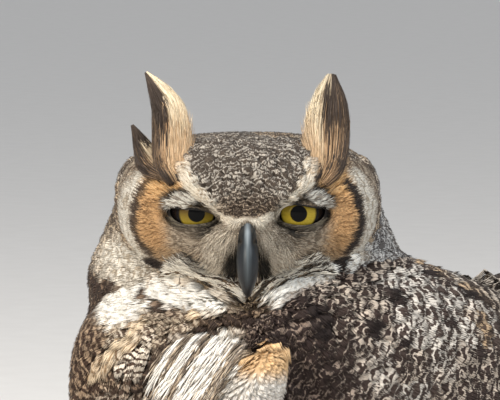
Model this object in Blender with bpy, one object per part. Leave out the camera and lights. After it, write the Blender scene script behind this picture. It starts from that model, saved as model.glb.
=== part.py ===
"""A great horned owl lying at rest on its belly, its head turned over its left shoulder.

Metres, +Z up. The bird lies along Y with its breast towards -Y and its left side at +X.
The floor is z = 0, and the origin is under the middle of the belly. The body, neck, wings and tail
have the outline of the plumage, out to the tips of the feathers.
"""

import math

import bmesh
import bpy
import numpy as np
from mathutils import Matrix, Vector

# Clearance between touching pieces, the most that a sharp corner adds to it, and the level they rest on.
GAP, CORNER_LIMIT = 0.0006, 3.0
FLOOR = 0.0

# The body from the breast to the tail: y, half width, height of the back, height of the belly.
# A belly below the floor is pressed flat on it.
BODY = (
    (-0.126, 0.068, 0.132, -0.004),
    (-0.062, 0.080, 0.142, -0.004),
    (0.000, 0.086, 0.147, -0.004),
    (0.060, 0.083, 0.141, -0.004),
    (0.110, 0.074, 0.126, 0.001),
    (0.160, 0.060, 0.107, 0.014),
    (0.210, 0.047, 0.088, 0.024),
    (0.260, 0.041, 0.070, 0.024),
    (0.310, 0.038, 0.050, 0.018),
    (0.345, 0.036, 0.038, 0.012),
)
BODY_SQUARENESS, BODY_SIDES = 2.4, 22
# The breast and the rump are rounded off over these lengths, the breast about this height.
BREAST_Y, RUMP_Y = -0.126, 0.214
BREAST_ROUNDING, RUMP_ROUNDING = 0.062, 0.080
BREAST_HEIGHT = 0.088

# A folded wing on that body: y, angle of its upper and lower edge from the back, how far it stands out.
WING = (
    (-0.068, 51.0, 58.0, 0.005),
    (-0.060, 48.0, 65.0, 0.009),
    (-0.049, 43.0, 72.0, 0.012),
    (-0.036, 38.0, 83.0, 0.0135),
    (-0.016, 31.0, 99.0, 0.014),
    (0.008, 25.0, 112.0, 0.014),
    (0.032, 20.0, 120.0, 0.014),
    (0.060, 15.0, 124.0, 0.013),
    (0.140, 14.0, 120.0, 0.012),
    (0.180, 17.0, 112.0, 0.011),
    (0.205, 24.0, 101.0, 0.010),
    (0.225, 34.0, 86.0, 0.010),
    (0.238, 48.0, 70.0, 0.010),
)
WING_STATIONS, WING_POINTS = 12, 8
# The wing's inner side is let into the body in front, and lifts over the long feathers between these y.
WING_INSET, WING_LIFT, WING_LIFT_Y = 0.004, 0.0074, (0.095, 0.128)
# Its edges stand out by this share of its middle, and it is nowhere thinner than this.
WING_EDGE, WING_THICKNESS = 0.45, 0.0018

# Long wing feathers: where they leave the wing and end, for the top one and the bottom one.
FLIGHT_COUNT, FLIGHT_STATIONS = 7, 5
FLIGHT_ROOT_Y, FLIGHT_TIP_Y = 0.134, (0.245, 0.318)
FLIGHT_ROOT_ANGLE, FLIGHT_TIP_ANGLE = (30.0, 114.0), (34.0, 66.0)
FLIGHT_STAND, FLIGHT_THICKNESS, FLIGHT_STEP, FLIGHT_NOTCH = 0.0016, 0.0020, 0.0012, 0.006

# Tail feathers, fanned by this many degrees, the outer ones a little lower and shorter.
TAIL_COUNT, TAIL_STATIONS = 9, 4
TAIL_ROOT, TAIL_TIP = Vector((0.0, 0.150, 0.058)), Vector((0.0, 0.345, 0.018))
TAIL_SPREAD, TAIL_ROOT_HALF, TAIL_SAG, TAIL_OUTER_SHORTER = 6.0, 0.026, 0.008, 0.05
TAIL_THICKNESS, TAIL_STEP, TAIL_NOTCH = 0.0024, 0.0012, 0.006
# The step between two overlapping feathers is this share of a feather wide.
SLATE_STEP = 0.02

# The head: centre, the way the face looks from above, and how far it nods.
HEAD_CENTRE = Vector((0.022, -0.036, 0.177))
FACE_TURN, FACE_NOD = 55.0, 6.0
HEAD_HALF_WIDTH, CROWN_HEIGHT, CHIN_DEPTH = 0.072, 0.036, 0.052
FACE_DEPTH, NAPE_DEPTH = 0.045, 0.062
HEAD_SQUARENESS, CHIN_SQUARENESS = 2.7, 2.05
HEAD_CUTS = 8

# Forms of the face, paired off the middle: right, up, spread each way, and how far each stands forward.
FACE_FORMS = (
    (0.046, 0.000, 0.010, 0.018, -0.004),
    (0.014, 0.010, 0.009, 0.007, 0.005),
    (0.028, 0.020, 0.012, 0.007, 0.006),
    (0.000, -0.010, 0.009, 0.018, 0.007),
    (0.019, -0.025, 0.012, 0.009, 0.006),
    (0.058, -0.004, 0.007, 0.026, 0.004),
)

# The neck in level rings: height, half width across the face, half depth, how far it lies behind the head.
NECK = (
    (0.085, 0.070, 0.056, 0.026),
    (0.105, 0.084, 0.064, 0.029),
    (0.125, 0.092, 0.068, 0.033),
    (0.143, 0.090, 0.064, 0.036),
    (0.160, 0.081, 0.057, 0.037),
    (0.180, 0.073, 0.050, 0.038),
    (0.195, 0.064, 0.043, 0.040),
    (0.206, 0.048, 0.033, 0.044),
    (0.211, 0.028, 0.020, 0.047),
)
NECK_STATIONS, NECK_SIDES = 8, 22

EYE_PLACE = Vector((0.0276, 0.0, 0.0262))
EYE_RADIUS = 0.0160
# The gap between the lids: its place, its half sizes, and the slant of its outer corner.
OPENING_PLACE, OPENING_HALF = Vector((0.0291, -0.0008, 0.0406)), (0.0135, 0.0056, 0.0110)
OPENING_SLANT = 11.0

# Ear tufts from the root to the tip: right, up, forward and half width.
TUFTS = {
    "ear_tuft_left": (
        (0.0430, 0.020, 0.010, 0.0135),
        (0.0435, 0.040, 0.004, 0.0128),
        (0.0450, 0.055, -0.008, 0.0094),
        (0.0460, 0.067, -0.017, 0.0026),
    ),
    "ear_tuft_right": (
        (-0.0410, 0.020, 0.010, 0.0115),
        (-0.0415, 0.038, 0.005, 0.0110),
        (-0.0437, 0.051, -0.003, 0.0092),
        (-0.0500, 0.061, -0.012, 0.0052),
        (-0.0555, 0.068, -0.018, 0.0010),
    ),
    "ear_tuft_right_outer": (
        (-0.0500, 0.016, 0.008, 0.0075),
        (-0.0570, 0.030, 0.002, 0.0058),
        (-0.0630, 0.041, -0.004, 0.0008),
    ),
}
# How deep a tuft is for its width.
TUFT_DEPTH = 0.40

# The bill's middle line in up and forward: up, forward, half width, half depth.
UPPER_BILL = (
    (-0.001, 0.037, 0.0050, 0.0060),
    (-0.007, 0.050, 0.0056, 0.0075),
    (-0.015, 0.058, 0.0064, 0.0080),
    (-0.023, 0.061, 0.0070, 0.0076),
    (-0.031, 0.0605, 0.0056, 0.0062),
    (-0.038, 0.0585, 0.0032, 0.0038),
    (-0.0428, 0.0560, 0.0006, 0.0008),
)
LOWER_BILL = (
    (-0.018, 0.036, 0.0062, 0.0040),
    (-0.024, 0.046, 0.0056, 0.0038),
    (-0.030, 0.052, 0.0038, 0.0028),
    (-0.034, 0.055, 0.0014, 0.0012),
)

# The feathered leg from the knee to the heel: place, then radius. The thigh is inside the trunk's plumage.
LEG = (
    (0.078, -0.056, 0.1035, 0.003),
    (0.081, -0.061, 0.096, 0.0115),
    (0.078, -0.067, 0.081, 0.0150),
    (0.066, -0.079, 0.056, 0.0145),
    (0.055, -0.090, 0.031, 0.0135),
)
FOOT = Vector((0.050, -0.090, 0.013))
FOOT_RADIUS = 0.0155
# Each toe: the way it points from straight ahead, positive outwards, and its length. Toe 1 points back.
TOES = {1: (205.0, 0.030), 2: (-16.0, 0.040), 3: (6.0, 0.044), 4: (42.0, 0.038)}
# Along a toe: share of its length, share of its radius, height of its middle.
TOE_RADIUS = 0.0085
TOE_STATIONS = ((0.0, 1.0, 0.0110), (0.5, 1.0, 0.0075), (0.85, 0.95, 0.0070), (1.0, 0.55, 0.0070))
# A claw is an arc that starts this many degrees uphill, and is sunk into its toe.
CLAW_LENGTH, CLAW_RADIUS, CLAW_SWEEP, CLAW_RISE, CLAW_SUNK = 0.026, 0.0040, 80.0, 20.0, 0.004
CLAW_TIP_RADIUS = 0.0003

# Colour and roughness of each material.
LOOKS = {
    "plumage_brown": ((0.105, 0.078, 0.058), 0.85),
    "plumage_pale": ((0.46, 0.41, 0.35), 0.85),
    "plumage_tawny": ((0.40, 0.23, 0.11), 0.85),
    "flight_feather": ((0.17, 0.12, 0.085), 0.7),
    "leg_plumage": ((0.55, 0.40, 0.27), 0.85),
    "horn": ((0.035, 0.042, 0.052), 0.35),
    "eye": ((0.62, 0.46, 0.04), 0.1),
}

# The head's own axes: the right of its picture, forward on the level, and up and forward with the nod.
turn, nod = math.radians(FACE_TURN), math.radians(FACE_NOD)
RIGHT = Vector((math.cos(turn), math.sin(turn), 0.0))
LEVEL_FORWARD = Vector((math.sin(turn), -math.cos(turn), 0.0))
UP = Vector((0.0, 0.0, 1.0)) * math.cos(nod) + LEVEL_FORWARD * math.sin(nod)
FORWARD = LEVEL_FORWARD * math.cos(nod) - Vector((0.0, 0.0, 1.0)) * math.sin(nod)


def start():
    """Empties the scene and makes a collection for the owl and one for its cutters."""
    for obj in list(bpy.data.objects):
        bpy.data.objects.remove(obj)
    made = []
    for name in ("great_horned_owl", "cutters"):
        collection = bpy.data.collections.new(name)
        bpy.context.scene.collection.children.link(collection)
        made.append(collection)
    return made


OWL, CUTTERS = start()


def material(name):
    """The material of this name, made once."""
    found = bpy.data.materials.get(name)
    if found is None:
        colour, roughness = LOOKS[name]
        found = bpy.data.materials.new(name)
        found.use_nodes = True
        shader = found.node_tree.nodes["Principled BSDF"]
        shader.inputs["Base Color"].default_value = (*colour, 1.0)
        shader.inputs["Roughness"].default_value = roughness
        shader.inputs["Metallic"].default_value = 0.0
    return found


def smooth(keys, at):
    """The values at a place between these rows, on a cubic through them. A row starts with its place."""
    table = np.array(keys, float)
    places, values = table[:, 0], table[:, 1:]
    slope = np.gradient(values, places, axis=0)
    at = min(max(at, places[0]), places[-1])
    i = min(int(np.searchsorted(places, at, "right")) - 1, len(places) - 2)
    step = places[i + 1] - places[i]
    s = (at - places[i]) / step
    return (
        (2 * s**3 - 3 * s**2 + 1) * values[i]
        + (s**3 - 2 * s**2 + s) * step * slope[i]
        + (3 * s**2 - 2 * s**3) * values[i + 1]
        + (s**3 - s**2) * step * slope[i + 1]
    )


def finish(bm, name, look, collection):
    """The bmesh as a smooth-shaded object, with its faces pointing out."""
    bmesh.ops.recalc_face_normals(bm, faces=bm.faces)
    if bm.calc_volume(signed=True) < 0:
        bmesh.ops.reverse_faces(bm, faces=bm.faces)
    bmesh.ops.triangulate(bm, faces=bm.faces)
    mesh = bpy.data.meshes.new(name)
    bm.to_mesh(mesh)
    bm.free()
    mesh.shade_smooth()
    mesh.materials.append(material(look))
    obj = bpy.data.objects.new(name, mesh)
    collection.objects.link(obj)
    return obj


def loft(name, rings, look, collection=None):
    """A closed skin through these rings of points, with a fan of faces over each end."""
    bm = bmesh.new()
    rows = [[bm.verts.new(p) for p in ring] for ring in rings]
    count = len(rows[0])
    for low, high in zip(rows, rows[1:]):
        for i in range(count):
            j = (i + 1) % count
            bm.faces.new((low[i], low[j], high[j], high[i]))
    for row in (rows[0], rows[-1]):
        middle = bm.verts.new(sum((v.co for v in row), Vector()) / count)
        for i in range(count):
            bm.faces.new((row[i], row[(i + 1) % count], middle))
    return finish(bm, name, look, collection or OWL)


def on_floor(point):
    """The point, lifted to the floor if it lies below it."""
    return Vector((point.x, point.y, max(point.z, FLOOR)))


def body_point(y, angle, out=0.0):
    """A point on the body at this y, this many degrees round from the back, and so far off the surface."""
    half, back, belly = smooth(BODY, y)
    middle, height = (back + belly) / 2, (back - belly) / 2
    start_of_breast = BREAST_Y + BREAST_ROUNDING
    if y < start_of_breast:
        share = math.sqrt(max(0.0, 1 - ((start_of_breast - y) / BREAST_ROUNDING) ** 2))
        half, height = half * share, height * share
        middle = middle * share + BREAST_HEIGHT * (1 - share)
    side, up = math.sin(math.radians(angle)), math.cos(math.radians(angle))
    power = 2 / BODY_SQUARENESS
    return Vector(
        (
            (half + out) * math.copysign(abs(side) ** power, side),
            y,
            middle + (height + out) * math.copysign(abs(up) ** power, up),
        )
    )


def make_trunk():
    rings = []
    breast = [BREAST_Y + BREAST_ROUNDING * (1 - math.cos(math.radians(a))) for a in (6, 24, 42, 60)]
    middle = list(np.linspace(BREAST_Y + BREAST_ROUNDING, RUMP_Y - RUMP_ROUNDING, 7))
    rump = [RUMP_Y - RUMP_ROUNDING * (1 - math.cos(math.radians(a))) for a in (68, 46, 24)]
    for y in breast + middle + rump:
        ring = [body_point(y, 360 * i / BODY_SIDES) for i in range(BODY_SIDES)]
        if y > RUMP_Y - RUMP_ROUNDING:
            share = math.sqrt(1 - ((y - RUMP_Y + RUMP_ROUNDING) / RUMP_ROUNDING) ** 2)
            centre = sum(ring, Vector()) / BODY_SIDES
            ring = [centre + (p - centre) * share for p in ring]
        rings.append([on_floor(p) for p in ring])
    return loft("trunk", rings, "plumage_brown")


def mirrored(point, side):
    """The point for the bird's left, or its mirror for the right."""
    return Vector((side * point.x, point.y, point.z))


def sheet(name, top, bottom, look):
    """A closed plate between two equal grids of points, one above the other."""
    bm = bmesh.new()
    above, below = ([[bm.verts.new(p) for p in row] for row in grid] for grid in (top, bottom))
    rows, count = len(above), len(above[0])
    for i in range(rows - 1):
        for j in range(count - 1):
            for grid in (above, below):
                bm.faces.new((grid[i][j], grid[i][j + 1], grid[i + 1][j + 1], grid[i + 1][j]))
        for j in (0, count - 1):
            bm.faces.new((above[i][j], above[i + 1][j], below[i + 1][j], below[i][j]))
    for i in (0, rows - 1):
        for j in range(count - 1):
            bm.faces.new((above[i][j], above[i][j + 1], below[i][j + 1], below[i][j]))
    return finish(bm, name, look, OWL)


def make_wing(side, name):
    """A folded wing out to the tips of its coverts, let into the body, and over the long feathers behind."""
    outer, inner = [], []
    shares = np.linspace(0, 1, WING_POINTS)
    for y in np.linspace(WING[0][0], WING[-1][0], WING_STATIONS):
        top, bottom, stand = smooth(WING, y)
        lift = min(max((y - WING_LIFT_Y[0]) / (WING_LIFT_Y[1] - WING_LIFT_Y[0]), 0.0), 1.0)
        under = -WING_INSET + (WING_LIFT + WING_INSET) * lift
        swell = [WING_EDGE + (1 - WING_EDGE) * math.sin(math.pi * s) for s in shares]
        over = [max(stand * k, under + WING_THICKNESS) for k in swell]
        angles = [top + (bottom - top) * s for s in shares]
        outer.append([mirrored(body_point(y, angle, off), side) for angle, off in zip(angles, over)])
        inner.append([mirrored(body_point(y, angle, under), side) for angle in angles])
    return sheet(name, outer, inner, "plumage_brown")


def slates(count):
    """Shares across a row of overlapping feathers: the low edge of each, then its high edge."""
    edges = []
    for i in range(count):
        edges += [((i + SLATE_STEP) / count, 1), ((i + 1) / count, 0)]
    return edges


def make_flight_feathers(side, name):
    """The ends of the long wing feathers, overlapping like slates, each with its own stepped edge and tip."""
    top, bottom = [], []
    for s in np.linspace(0, 1, FLIGHT_STATIONS):
        upper, lower = [], []
        for share, low in slates(FLIGHT_COUNT):
            reach = FLIGHT_TIP_Y[0] + (FLIGHT_TIP_Y[1] - FLIGHT_TIP_Y[0]) * math.sin(share * math.pi / 2)
            y = FLIGHT_ROOT_Y + (reach - low * FLIGHT_NOTCH - FLIGHT_ROOT_Y) * s
            root, tip = (a + (b - a) * share for a, b in (FLIGHT_ROOT_ANGLE, FLIGHT_TIP_ANGLE))
            angle = root + (tip - root) * s
            over = FLIGHT_STAND + FLIGHT_THICKNESS + (1 - low) * FLIGHT_STEP
            upper.append(mirrored(body_point(y, angle, over), side))
            lower.append(mirrored(body_point(y, angle, FLIGHT_STAND), side))
        top.append(upper)
        bottom.append(lower)
    return sheet(name, top, bottom, "flight_feather")


def make_tail():
    """The tail feathers, fanned a little, each half stepping down from the middle one."""
    top, bottom = [], []
    length, drop = TAIL_TIP.y - TAIL_ROOT.y, TAIL_TIP.z - TAIL_ROOT.z
    for s in np.linspace(0, 1, TAIL_STATIONS):
        upper, lower = [], []
        for share, low in slates(TAIL_COUNT):
            across = 2 * share - 1
            if across < 0:
                low = 1 - low
            along = s * (1 - TAIL_OUTER_SHORTER * across**2) * length - low * TAIL_NOTCH * s
            x = across * (TAIL_ROOT_HALF + along * math.tan(math.radians(TAIL_SPREAD)))
            z = TAIL_ROOT.z + drop * along / length - TAIL_SAG * across**2
            lower.append(Vector((x, TAIL_ROOT.y + along, z)))
            upper.append(lower[-1] + Vector((0.0, 0.0, TAIL_THICKNESS + (1 - low) * TAIL_STEP)))
        top.append(upper)
        bottom.append(lower)
    return sheet("tail", top, bottom, "flight_feather")


def head_point(right, up, forward):
    """Turns the head's own right, up and forward into a place in the scene."""
    return HEAD_CENTRE + RIGHT * right + UP * up + FORWARD * forward


def head_surface(direction):
    """The feathered head's surface this way from its centre, in the head's own right, up and forward."""
    r, u, f = direction
    axes = (HEAD_HALF_WIDTH, CROWN_HEIGHT if u > 0 else CHIN_DEPTH, FACE_DEPTH if f > 0 else NAPE_DEPTH)
    low = min(1.0, max(0.0, -2.5 * u))
    power = HEAD_SQUARENESS + (CHIN_SQUARENESS - HEAD_SQUARENESS) * low
    total = sum(abs(x / a) ** power for x, a in zip((r, u, f), axes))
    r, u, f = (x * total ** (-1 / power) for x in (r, u, f))
    front = min(1.0, max(0.0, f / FACE_DEPTH - 0.1) / 0.4)
    for right, up, wide, high, push in FACE_FORMS:
        for side in (-1, 1) if right else (1,):
            f += front * push * math.exp(-(((r - side * right) / wide) ** 2) - ((u - up) / high) ** 2)
    return r, u, f


def make_head():
    """A cube divided into a grid, each point moved out to the head's surface."""
    bm = bmesh.new()
    bmesh.ops.create_cube(bm, size=2.0)
    bmesh.ops.subdivide_edges(bm, edges=bm.edges[:], cuts=HEAD_CUTS, use_grid_fill=True)
    for v in bm.verts:
        direction = Vector([math.tan(x * math.pi / 4) for x in v.co]).normalized()
        v.co = head_point(*head_surface(direction))
    return finish(bm, "head", "plumage_brown", OWL)


def make_neck():
    rings = []
    ways = [(math.cos(a), math.sin(a)) for a in np.linspace(0, 2 * math.pi, NECK_SIDES, endpoint=False)]
    for height in np.linspace(NECK[0][0], NECK[-1][0], NECK_STATIONS):
        half, depth, behind = smooth(NECK, height)
        centre = Vector((HEAD_CENTRE.x, HEAD_CENTRE.y, height)) - LEVEL_FORWARD * behind
        rings.append([centre + RIGHT * half * x + LEVEL_FORWARD * depth * y for x, y in ways])
    return loft("neck", rings, "plumage_pale")


def limb(name, rows, look, sides=10, steps=8, side=Vector((1.0, 0.0, 0.0)), collection=None):
    """A tapering limb along rows of place, half width and half depth. Its width lies along side."""
    keys = [(i, *row) for i, row in enumerate(rows)]
    stations = [smooth(keys, s) for s in np.linspace(0, len(rows) - 1, steps)]
    places = [Vector(row[:3]) for row in stations]
    ways = [(math.cos(a), math.sin(a)) for a in np.linspace(0, 2 * math.pi, sides, endpoint=False)]
    rings = []
    for i, row in enumerate(stations):
        along = (places[min(i + 1, steps - 1)] - places[max(i - 1, 0)]).normalized()
        wide = (side - along * side.dot(along)).normalized() * row[3]
        deep = along.cross(wide).normalized() * row[4]
        rings.append([on_floor(places[i] + wide * x + deep * y) for x, y in ways])
    return loft(name, rings, look, collection)


def make_tuft(name, rows):
    """An ear tuft, broad at the root and pointed, with its flat side to the front."""
    stations = [(*head_point(*row[:3]), row[3], row[3] * TUFT_DEPTH) for row in rows]
    return limb(name, stations, "plumage_tawny", sides=8, steps=7, side=RIGHT)


def make_bill(name, rows):
    places = [(*head_point(0.0, up, forward), wide, deep) for up, forward, wide, deep in rows]
    return limb(name, places, "horn", sides=10, steps=8, side=RIGHT)


def ball(name, centre, radius, look, collection=None, rings=7, segments=14):
    bm = bmesh.new()
    bmesh.ops.create_uvsphere(bm, u_segments=segments, v_segments=rings, radius=radius)
    bmesh.ops.translate(bm, verts=bm.verts, vec=centre)
    return finish(bm, name, look, collection or OWL)


def make_eye(name, side):
    return ball(name, head_point(side * EYE_PLACE.x, EYE_PLACE.y, EYE_PLACE.z), EYE_RADIUS, "eye")


def eye_opening(side):
    """The cutter between the lids: an ellipsoid over the front of the eye, its outer corner higher."""
    cutter = ball(f"eye_opening_{side}", Vector(), 1.0, "eye", CUTTERS, rings=8)
    slant = Matrix.Rotation(math.radians(side * OPENING_SLANT), 3, "Z")
    place = Vector((side * OPENING_PLACE.x, OPENING_PLACE.y, OPENING_PLACE.z))
    for v in cutter.data.vertices:
        v.co = head_point(*(place + slant @ Vector([x * half for x, half in zip(v.co, OPENING_HALF)])))
    return hide(cutter)


def make_leg(name, side):
    rows = [(side * x, y, z, radius, radius) for x, y, z, radius in LEG]
    return limb(name, rows, "leg_plumage", sides=9, steps=8)


def toe_way(side, angle):
    """Level direction of a toe, its angle taken outwards from straight ahead."""
    a = math.radians(angle)
    return Vector((side * math.sin(a), -math.cos(a), 0.0))


def make_foot(name, side):
    """The feathered pad and its four toes, flat underneath."""
    centre = Vector((side * FOOT.x, FOOT.y, FOOT.z))
    foot = ball(name, centre, FOOT_RADIUS, "leg_plumage", rings=6, segments=10)
    for v in foot.data.vertices:
        v.co = on_floor(v.co)
    for toe, (angle, length) in TOES.items():
        rows = []
        for share, size, height in TOE_STATIONS:
            place = centre + toe_way(side, angle) * length * share
            rows.append((place.x, place.y, height, TOE_RADIUS * size, TOE_RADIUS * size))
        across = toe_way(side, angle + 90)
        part = limb(f"{name}_toe_{toe}", rows, "leg_plumage", 6, len(rows), across, CUTTERS)
        combine(foot, part, "UNION")
    return foot


def make_claw(name, side, angle, length):
    """A claw that springs forward from the toe and curves down to the floor."""
    way = toe_way(side, angle)
    base = Vector((side * FOOT.x, FOOT.y, 0.0)) + way * (length - CLAW_SUNK)
    radius = CLAW_LENGTH / math.radians(CLAW_SWEEP)
    first, last = math.radians(-CLAW_RISE), math.radians(CLAW_SWEEP - CLAW_RISE)
    rows = []
    for share in (0.0, 0.3, 0.6, 0.85, 1.0):
        bend = first + (last - first) * share
        size = CLAW_RADIUS * (1 - share**1.6) + CLAW_TIP_RADIUS
        place = base + way * radius * (math.sin(bend) - math.sin(first))
        height = radius * (math.cos(bend) - math.cos(last)) + 2 * CLAW_TIP_RADIUS
        rows.append((place.x, place.y, height, size * 0.8, size))
    return limb(name, rows, "horn", 5, len(rows), toe_way(side, angle + 90))


def hide(obj):
    obj.hide_render = True
    obj.display_type = "WIRE"
    return obj


def combine(obj, other, operation):
    """Adds a Boolean that joins other to obj or cuts it away."""
    modifier = obj.modifiers.new(f"{operation.lower()}_{other.name}", "BOOLEAN")
    modifier.operation = operation
    modifier.solver = "EXACT"
    modifier.object = hide(other)


def grown(obj):
    """A cutter with the shape of obj, its modifiers included, moved out by the clearance."""
    found = CUTTERS.objects.get(f"{obj.name}_grown")
    if found is None:
        graph = bpy.context.evaluated_depsgraph_get()
        mesh = bpy.data.meshes.new_from_object(obj.evaluated_get(graph))
        bm = bmesh.new()
        bm.from_mesh(mesh)
        moves = [v.normal * GAP * min(v.calc_shell_factor(), CORNER_LIMIT) for v in bm.verts]
        for v, move in zip(bm.verts, moves):
            v.co += move
        bm.to_mesh(mesh)
        bm.free()
        found = hide(bpy.data.objects.new(f"{obj.name}_grown", mesh))
        CUTTERS.objects.link(found)
    return found


def clear(obj, *others):
    """Cuts obj back from pieces that it would meet."""
    for other in others:
        combine(obj, grown(other), "DIFFERENCE")


def build():
    trunk, neck, head, tail = make_trunk(), make_neck(), make_head(), make_tail()
    upper, lower = make_bill("bill_upper", UPPER_BILL), make_bill("bill_lower", LOWER_BILL)
    tufts = [make_tuft(name, rows) for name, rows in TUFTS.items()]
    wings, legs, feet, eyes, claws = {}, {}, {}, {}, {}
    for word, side in (("left", 1), ("right", -1)):
        wings[word] = make_wing(side, f"wing_{word}")
        make_flight_feathers(side, f"flight_feathers_{word}")
        legs[word] = make_leg(f"leg_{word}", side)
        feet[word] = make_foot(f"foot_{word}", side)
        eyes[word] = make_eye(f"eye_{word}", side)
        for toe, (angle, length) in TOES.items():
            claws[word, toe] = make_claw(f"claw_{word}_{toe}", side, angle, length)

    # Every cutter is taken from the uncut shapes, before any piece is cut back.
    bpy.context.view_layer.update()
    pieces = (trunk, neck, head, upper, lower, tufts[1])
    for obj in (*pieces, *wings.values(), *legs.values(), *feet.values(), *eyes.values(), *claws.values()):
        grown(obj)

    clear(trunk, upper, head)
    clear(neck, head, trunk)
    clear(head, upper, *eyes.values())
    for side in (-1, 1):
        combine(head, eye_opening(side), "DIFFERENCE")
    clear(lower, upper, head, neck)
    for tuft in tufts:
        clear(tuft, head, neck)
    clear(tufts[2], tufts[1])
    clear(tail, trunk)
    for word in wings:
        clear(wings[word], trunk, neck, head, upper)
        clear(legs[word], wings[word], feet[word])
        clear(trunk, legs[word], feet[word], claws[word, 1])
        for toe in TOES:
            clear(claws[word, toe], feet[word])


build()
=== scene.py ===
"""The looks of a great horned owl at rest: skin, plumage, eyes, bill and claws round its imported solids.

Metres, +Z up, in the frame of the solids. Marks on the front of the bird are in millimetres across and up
from the middle of the head, along the level line through both eyes and at right angles to it.
"""

import math

import bmesh
import bpy
import numpy as np
from mathutils import Matrix, Vector
from mathutils.bvhtree import BVHTree
from mathutils.kdtree import KDTree


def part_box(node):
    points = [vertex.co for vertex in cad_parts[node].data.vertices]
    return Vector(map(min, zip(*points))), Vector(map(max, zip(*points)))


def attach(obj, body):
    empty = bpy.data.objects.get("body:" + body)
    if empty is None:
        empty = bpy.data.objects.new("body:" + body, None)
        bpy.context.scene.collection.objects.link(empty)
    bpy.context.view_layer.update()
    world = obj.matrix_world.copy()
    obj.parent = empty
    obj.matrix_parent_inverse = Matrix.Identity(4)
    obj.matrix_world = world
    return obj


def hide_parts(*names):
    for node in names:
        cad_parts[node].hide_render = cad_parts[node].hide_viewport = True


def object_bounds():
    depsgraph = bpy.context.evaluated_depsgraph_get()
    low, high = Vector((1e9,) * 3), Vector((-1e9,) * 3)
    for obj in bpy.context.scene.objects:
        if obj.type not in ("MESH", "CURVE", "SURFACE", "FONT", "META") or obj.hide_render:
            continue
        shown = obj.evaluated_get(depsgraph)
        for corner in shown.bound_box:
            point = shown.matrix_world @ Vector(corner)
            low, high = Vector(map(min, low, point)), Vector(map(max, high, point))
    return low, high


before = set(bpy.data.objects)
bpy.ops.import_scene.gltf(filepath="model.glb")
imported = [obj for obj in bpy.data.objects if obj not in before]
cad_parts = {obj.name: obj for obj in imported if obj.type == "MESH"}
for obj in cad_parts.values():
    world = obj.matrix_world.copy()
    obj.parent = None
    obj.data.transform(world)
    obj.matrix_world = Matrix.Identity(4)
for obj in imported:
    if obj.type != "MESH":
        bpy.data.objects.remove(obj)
CAD_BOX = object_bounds()

MM = 0.001
rng = np.random.default_rng(20)

# ---------------------------------------------------------------- places that come from the solids


def unit(v):
    return v / np.maximum(np.linalg.norm(v, axis=-1, keepdims=True), 1e-12)


def centre_of(node):
    low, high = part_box(node)
    return (np.array(low) + np.array(high)) / 2


# The head's axes: right in its own picture, forward on the level, then up and forward with the nod.
NOD = math.radians(6)
EYE_LEFT, EYE_RIGHT = centre_of("eye_left"), centre_of("eye_right")
EYE_RADIUS = float(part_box("eye_left")[1].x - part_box("eye_left")[0].x) / 2
Z = np.array([0.0, 0.0, 1.0])
RIGHT = unit(EYE_LEFT - EYE_RIGHT)
LEVEL = np.cross(RIGHT, Z)
UP = Z * math.cos(NOD) + LEVEL * math.sin(NOD)
FORWARD = LEVEL * math.cos(NOD) - Z * math.sin(NOD)
EYE_FORWARD = 0.0262
HEAD = (EYE_LEFT + EYE_RIGHT) / 2 - FORWARD * EYE_FORWARD

# The front of the bird, seen from a few degrees above the level: across is RIGHT.
FRONT_RISE = math.radians(4)
FRONT_UP = Z * math.cos(FRONT_RISE) - LEVEL * math.sin(FRONT_RISE)
FRONT_OUT = LEVEL * math.cos(FRONT_RISE) + Z * math.sin(FRONT_RISE)
FRONT = np.stack([RIGHT, FRONT_UP, FRONT_OUT])


def on_front(points):
    """Millimetres across, up and out from the middle of the head."""
    return (points - HEAD) @ FRONT.T / MM


def from_front(across, up, out):
    return HEAD + np.stack([across, up, out], axis=-1) * MM @ FRONT


# ---------------------------------------------------------------- small tools for arrays


def ease(x, low, high):
    """0 below low, 1 above high, smooth between."""
    t = np.clip((x - low) / (high - low), 0.0, 1.0)
    return t * t * (3 - 2 * t)


def on_line(x, line):
    """The height of a line of points at x."""
    return np.interp(x, *np.transpose(line))


LATTICE = rng.random((32, 32, 32))


def noise(points, size, shift=0.0):
    """Smooth random values from 0 to 1, in lumps of this size."""
    at = points / size + shift
    cell = np.floor(at).astype(int)
    t = at - cell
    t = t * t * (3 - 2 * t)
    total = np.zeros(len(points))
    for corner in np.ndindex(2, 2, 2):
        i = (cell + corner) % 32
        weight = np.prod(np.where(corner, t, 1 - t), axis=1)
        total += weight * LATTICE[i[:, 0], i[:, 1], i[:, 2]]
    return total


def line_distance(x, y, line):
    """How far each point lies from a line of points."""
    best = np.full(len(x), np.inf)
    for (x0, y0), (x1, y1) in zip(line, line[1:]):
        dx, dy = x1 - x0, y1 - y0
        t = np.clip(((x - x0) * dx + (y - y0) * dy) / (dx * dx + dy * dy), 0, 1)
        best = np.minimum(best, np.hypot(x - x0 - t * dx, y - y0 - t * dy))
    return best


def near_line(x, y, line, half, soft=1.0):
    """1 on a line of this half width, falling to 0 over the soft edge."""
    return 1 - ease(line_distance(x, y, line), half - soft / 2, half + soft / 2)


def disc(x, y, centre, radii, soft=0.25):
    """1 inside an ellipse, falling to 0 over a share of its radius."""
    far = np.hypot((x - centre[0]) / radii[0], (y - centre[1]) / radii[1])
    return 1 - ease(far, 1 - soft, 1 + soft)


# ---------------------------------------------------------------- the head's form

# The feathered head's half sizes, as in the solid: across, crown, chin, face and nape.
HEAD_HALF_WIDTH, CROWN_HEIGHT, CHIN_DEPTH = 0.072, 0.036, 0.052
FACE_DEPTH, NAPE_DEPTH = 0.045, 0.062
HEAD_SQUARENESS, CHIN_SQUARENESS = 2.7, 2.05
HEAD_CUTS = 70
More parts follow.
